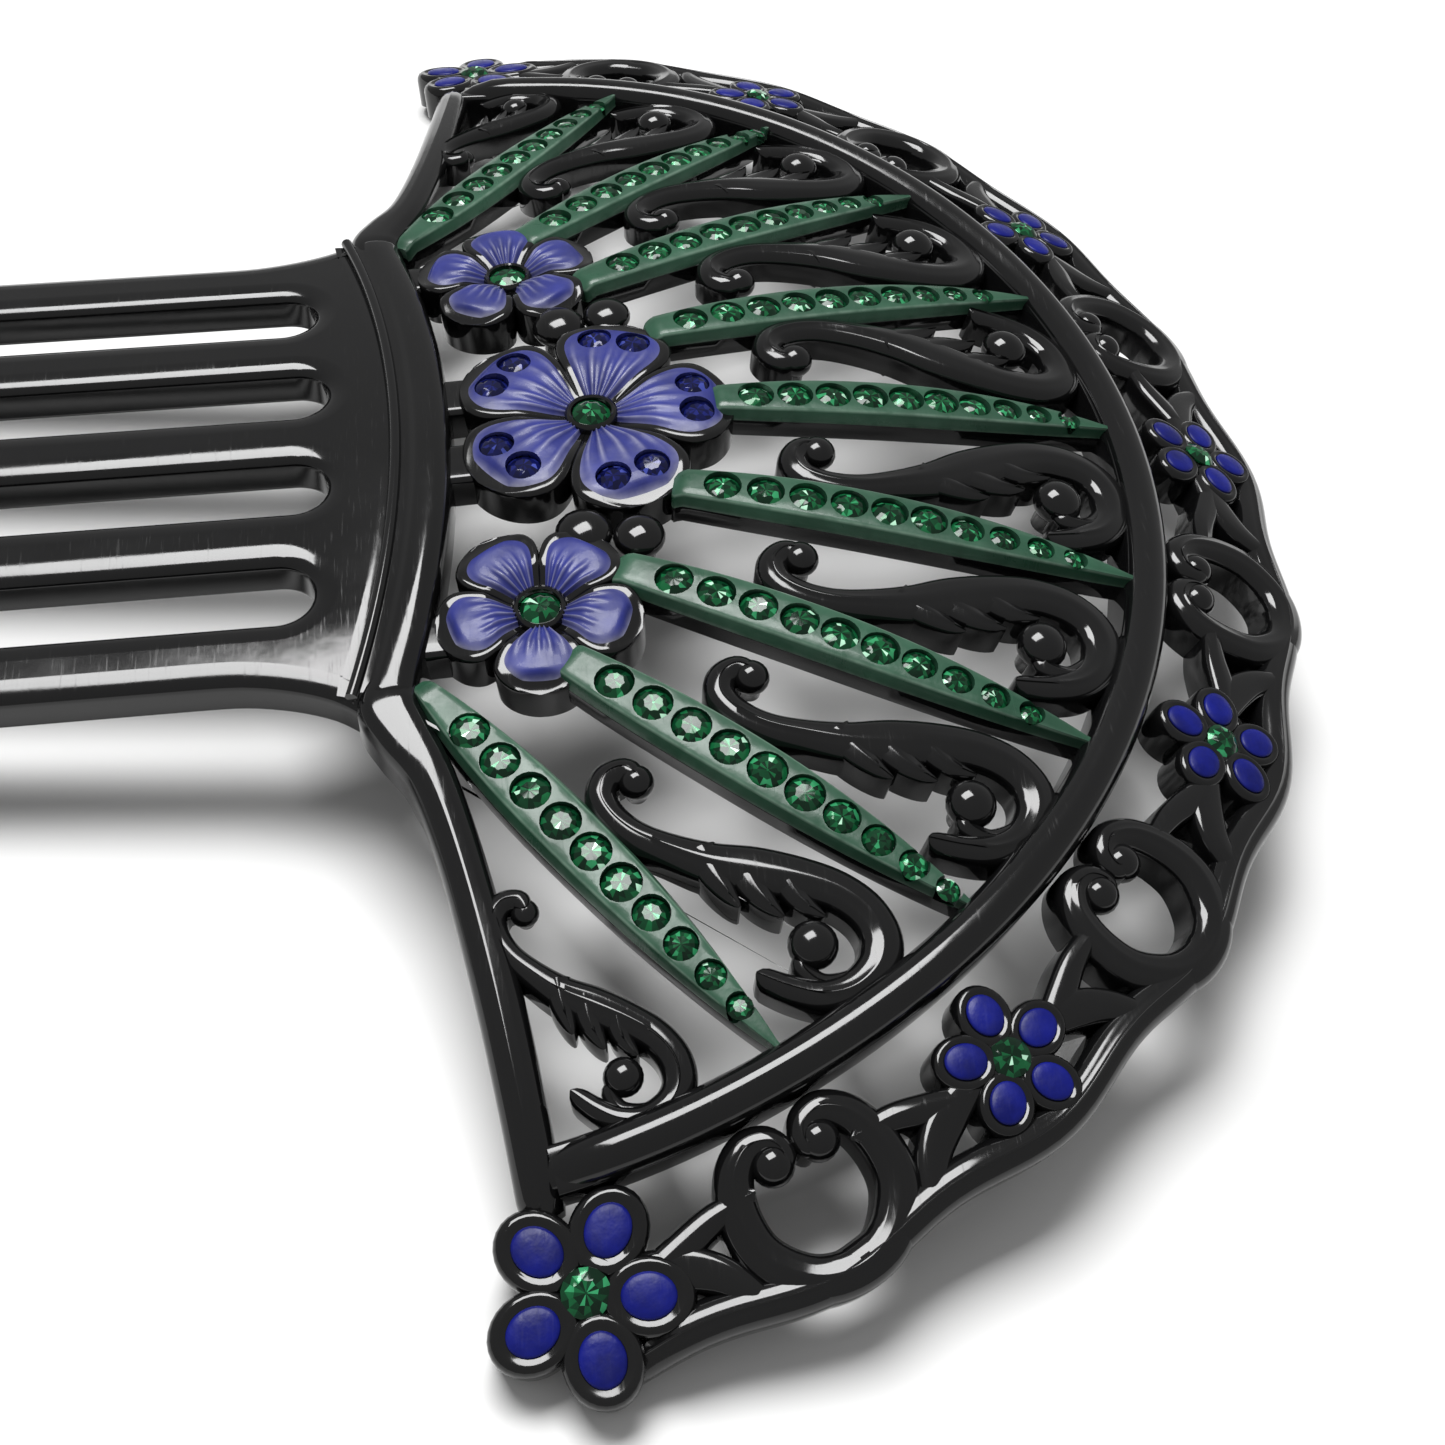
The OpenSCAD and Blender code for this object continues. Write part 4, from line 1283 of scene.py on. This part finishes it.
# %% Stones
def facet_ring(r, h, r_odd, h_odd):
    """Sixteen points round a stone, with every second one at its own radius and height."""
    out = []
    for k in range(16):
        a, rk, hk = math.pi * k / 8, (r_odd if k % 2 else r), (h_odd if k % 2 else h)
        out.append((rk * math.cos(a), rk * math.sin(a), hk))
    return out


stone_pattern = pattern_from("stone_pattern", [
    facet_ring(0.1, -0.7, 0.1, -0.7), facet_ring(0.98, -0.1, 0.98, -0.1), facet_ring(1.0, 0.0, 1.0, 0.0),
    facet_ring(0.7, 0.22, 0.84, 0.09), facet_ring(0.52, 0.27, 0.46, 0.29),
    facet_ring(0.06, 0.29, 0.06, 0.29)])
print("faces of one stone:", len(stone_pattern.data.polygons))

# %% [markdown]
# Stones set by hand are never quite level, so each gets a small random tilt and any turn about its axis.

# %% Setting the stones
SET_BY_HAND = (0.12, 0.12, 3.1)


def set_stones(name, stones, height, glass, seed, slot, cad_node):
    places = [(x, y, height, (d / 2,) * 3, 0.0) for x, y, d in stones]
    done(scatter(name, stone_pattern, places, glass, 20, SET_BY_HAND, seed), glass, slot, cad_node)


groups = {"left": leaf_stones[:30], "middle": leaf_stones[30:60], "right": leaf_stones[60:]}
for k, (side, stones) in enumerate(groups.items()):
    set_stones(f"leaf_stones_{side}_set", stones, -0.05, GREEN_GLASS, 3 + k, "green_glass",
               f"leaf_stones_{side}")
set_stones("petal_stones_set", petal_stones, -0.02, BLUE_GLASS, 11, "blue_glass", "petal_stones")
centres = [(*MIDDLE, CENTRE_STONE_D), (*SIDE, CENTRE_STONE_D), (-SIDE[0], SIDE[1], CENTRE_STONE_D)]
set_stones("flower_centre_stones_set", centres, -0.55, GREEN_GLASS, 12, "green_glass", "flower_centre_stones")
border_centres = [(*fan_point(BORDER_R, a), 2.8 if abs(a) > 70 else 2.5) for a in flower_angles]
set_stones("border_stones_set", border_centres, 0.0, GREEN_GLASS, 13, "green_glass", "border_stones")

# %% [markdown]
# ### Ball beads and scroll balls
#
# The black balls are turned smooth and stand on short stalks. One unit ball with a stalk serves the beads
# beside the middle flower, the balls of the scrolls and the small curls of the loops.

# %% Balls
ball_rings = [circle(0.6, -1.6, 20), circle(0.62, -0.8, 20)]
ball_rings += [circle(math.cos(a), math.sin(a), 20) for a in np.linspace(-0.75, 1.5, 12)]
ball_pattern = pattern_from("ball_pattern", ball_rings)
places = [(x, y, h, (r, r, r * flat), 0.0) for x, y, r, h, flat in balls]
done(scatter("scroll_balls", ball_pattern, places, BLACK, 60), BLACK, "black_celluloid")
BEADS = [(11.3, -2.35, 2.0), (12.1, 1.35, 1.8)]
BEAD_H, BEAD_FLATNESS = -1.1, 0.62
places = [(s * x, y, BEAD_H, (r, r, r * BEAD_FLATNESS), 0.0) for s in (-1, 1) for x, y, r in BEADS]
done(scatter("ball_bead_set", ball_pattern, places, BLACK, 60), BLACK, "black_celluloid", "ball_beads")

# %% [markdown]
# ### Border flowers
#
# Five petals stand round each centre stone. A petal is an oval cup with a raised black lip, filled with a
# dome of deep blue enamel. Cup and dome are two patterns set in the same places, the dome a little smaller.

# %% Cup, dome and seat patterns
cup_pattern = pattern_from("petal_cup_pattern", [
    oval(1.85, 2.15, -2.9), oval(1.9, 2.2, -0.7), oval(1.86, 2.15, -0.35), oval(1.74, 2.02, -0.1),
    oval(1.55, 1.82, 0.02), oval(1.34, 1.6, 0.03), oval(1.24, 1.48, -0.05), oval(0.6, 0.7, -0.1),
    oval(0.1, 0.1, -0.1)])
dome_pattern = pattern_from("petal_dome_pattern", [
    oval(1.1, 1.32, -0.3), oval(1.26, 1.5, -0.05), oval(1.24, 1.47, 0.03), oval(1.1, 1.32, 0.1),
    oval(0.8, 0.95, 0.16), oval(0.4, 0.5, 0.19), oval(0.08, 0.1, 0.2)])
seat_pattern = pattern_from("stone_seat_pattern", [
    circle(2.4, -2.9), circle(2.4, -0.4), circle(1.8, -0.2), circle(1.5, -0.05), circle(1.32, -0.1),
    circle(1.28, -0.7), circle(0.1, -0.7)])
print("patterns:", cup_pattern.name, dome_pattern.name, seat_pattern.name)

# %% [markdown]
# The two corner flowers are larger, with wider lips round their enamel. The flowers between them are turned
# by different amounts.

# %% Seven border flowers
PETAL_OUT = 2.85
FLOWER_TURN = {0: 0, 1: 36, 2: -23, 3: 0}
petals, enamels, seats = [], [], []
for n, angle in enumerate(flower_angles):
    size, inset = (1.2, 0.86) if n in (0, 6) else (0.94, 0.93)
    side = -1 if n < 3 else 1
    centre = fan_point(BORDER_R, angle)
    seats.append((*centre, 0.0, (size**1.7, size**1.7, 1), 0.0))
    for k in range(5):
        spin = angle + side * FLOWER_TURN[abs(n - 3)] + 72 * k
        place = (*(centre + turned((0, PETAL_OUT * size), spin)), 0.0)
        petals.append((*place, (size, size, 1), spin))
        enamels.append((*place, (size * inset, size * inset, 1), spin))
cups = scatter("border_flower_cups", cup_pattern, petals, BLACK, 50)
done(cups, BLACK, "black_celluloid", *[f"border_flower_{i}" for i in range(1, 8)])
domes = scatter("border_flower_petals", dome_pattern, enamels, BLUE, 50)
done(domes, BLUE, "blue_enamel", "border_enamel")
done(scatter("border_flower_seats", seat_pattern, seats, BLACK, 50), BLACK, "black_celluloid")
for pattern in (stone_pattern, ball_pattern, cup_pattern, dome_pattern, seat_pattern):
    bpy.data.objects.remove(pattern)

# %% [markdown]
# ## Table, light and camera
#
# The comb lies on a white table, which is one large plane. It is only there to stand on, so it is not tied
# to the comb's body.

# %% Table
bpy.ops.mesh.primitive_plane_add(size=4, location=(0, 0, 0))
table = bpy.context.active_object
table.name = "table"
table_mat = bpy.data.materials.new("white table")
table_mat.use_nodes = True
table_mat.node_tree.nodes["Principled BSDF"].inputs["Base Color"].default_value = (0.76, 0.76, 0.757, 1)
table_mat.node_tree.nodes["Principled BSDF"].inputs["Roughness"].default_value = 0.6
table.data.materials.append(table_mat)
print("table:", [round(v, 2) for v in table.dimensions])

# %% [markdown]
# One broad soft light stands high on the comb's far side, where its reflection falls on the rounded edges
# that face the camera. Pale surroundings fill the shadows.

# %% Light
world = bpy.data.worlds.new("pale room")
bpy.context.scene.world = world
world.use_nodes = True
world.node_tree.nodes["Background"].inputs["Color"].default_value = (1, 1, 1, 1)
world.node_tree.nodes["Background"].inputs["Strength"].default_value = 0.34


def softbox(name, elevation, azimuth, distance, size, power):
    """A rectangular soft light that faces the comb, azimuth measured from +X towards +Y."""
    e, a = math.radians(elevation), math.radians(azimuth)
    at = Vector((math.cos(e) * math.cos(a), math.cos(e) * math.sin(a), math.sin(e))) * distance
    light = bpy.data.lights.new(name, "AREA")
    light.shape = "RECTANGLE"
    light.size, light.size_y = size
    light.energy = power
    obj = bpy.data.objects.new(name, light)
    obj.location = at
    obj.rotation_euler = at.to_track_quat("Z", "Y").to_euler()
    bpy.context.scene.collection.objects.link(obj)


softbox("overhead softbox", 71, 203, 0.7, (0.44, 0.33), 7.0)

# %% [markdown]
# The camera looks down on the comb from its right-hand side. Its place and its view are given in the comb's
# own frame, before the comb is tipped, and are tipped with it.

# %% Camera
CAMERA_AT = np.array([107.8, -3.4, 90.9])
LOOK = np.array([-0.646, 0.067, -0.760])
UP = np.array([-0.752, 0.114, 0.650])
look, up = Vector(tip_over(LOOK)).normalized(), Vector(tip_over(UP))
right = look.cross(up).normalized()
camera = bpy.data.objects.new("camera", bpy.data.cameras.new("camera"))
camera.data.lens = 48.8
camera.data.sensor_width = 36
camera.data.clip_start = 0.01
stands_at = Vector((tip_over(CAMERA_AT) + np.array([0, ORIGIN_Y, LIFT])) * MM)
facing = Matrix((right, right.cross(look), -look)).transposed().to_4x4()
camera.matrix_world = Matrix.Translation(stands_at) @ facing
bpy.context.scene.collection.objects.link(camera)
bpy.context.scene.camera = camera
bpy.context.scene.view_settings.view_transform = "Standard"
print("camera at", [round(v, 4) for v in stands_at])

# %% [markdown]
# ## Finish
#
# The visual model has to keep to the CAD model's box, to within a few per cent and a few millimetres.
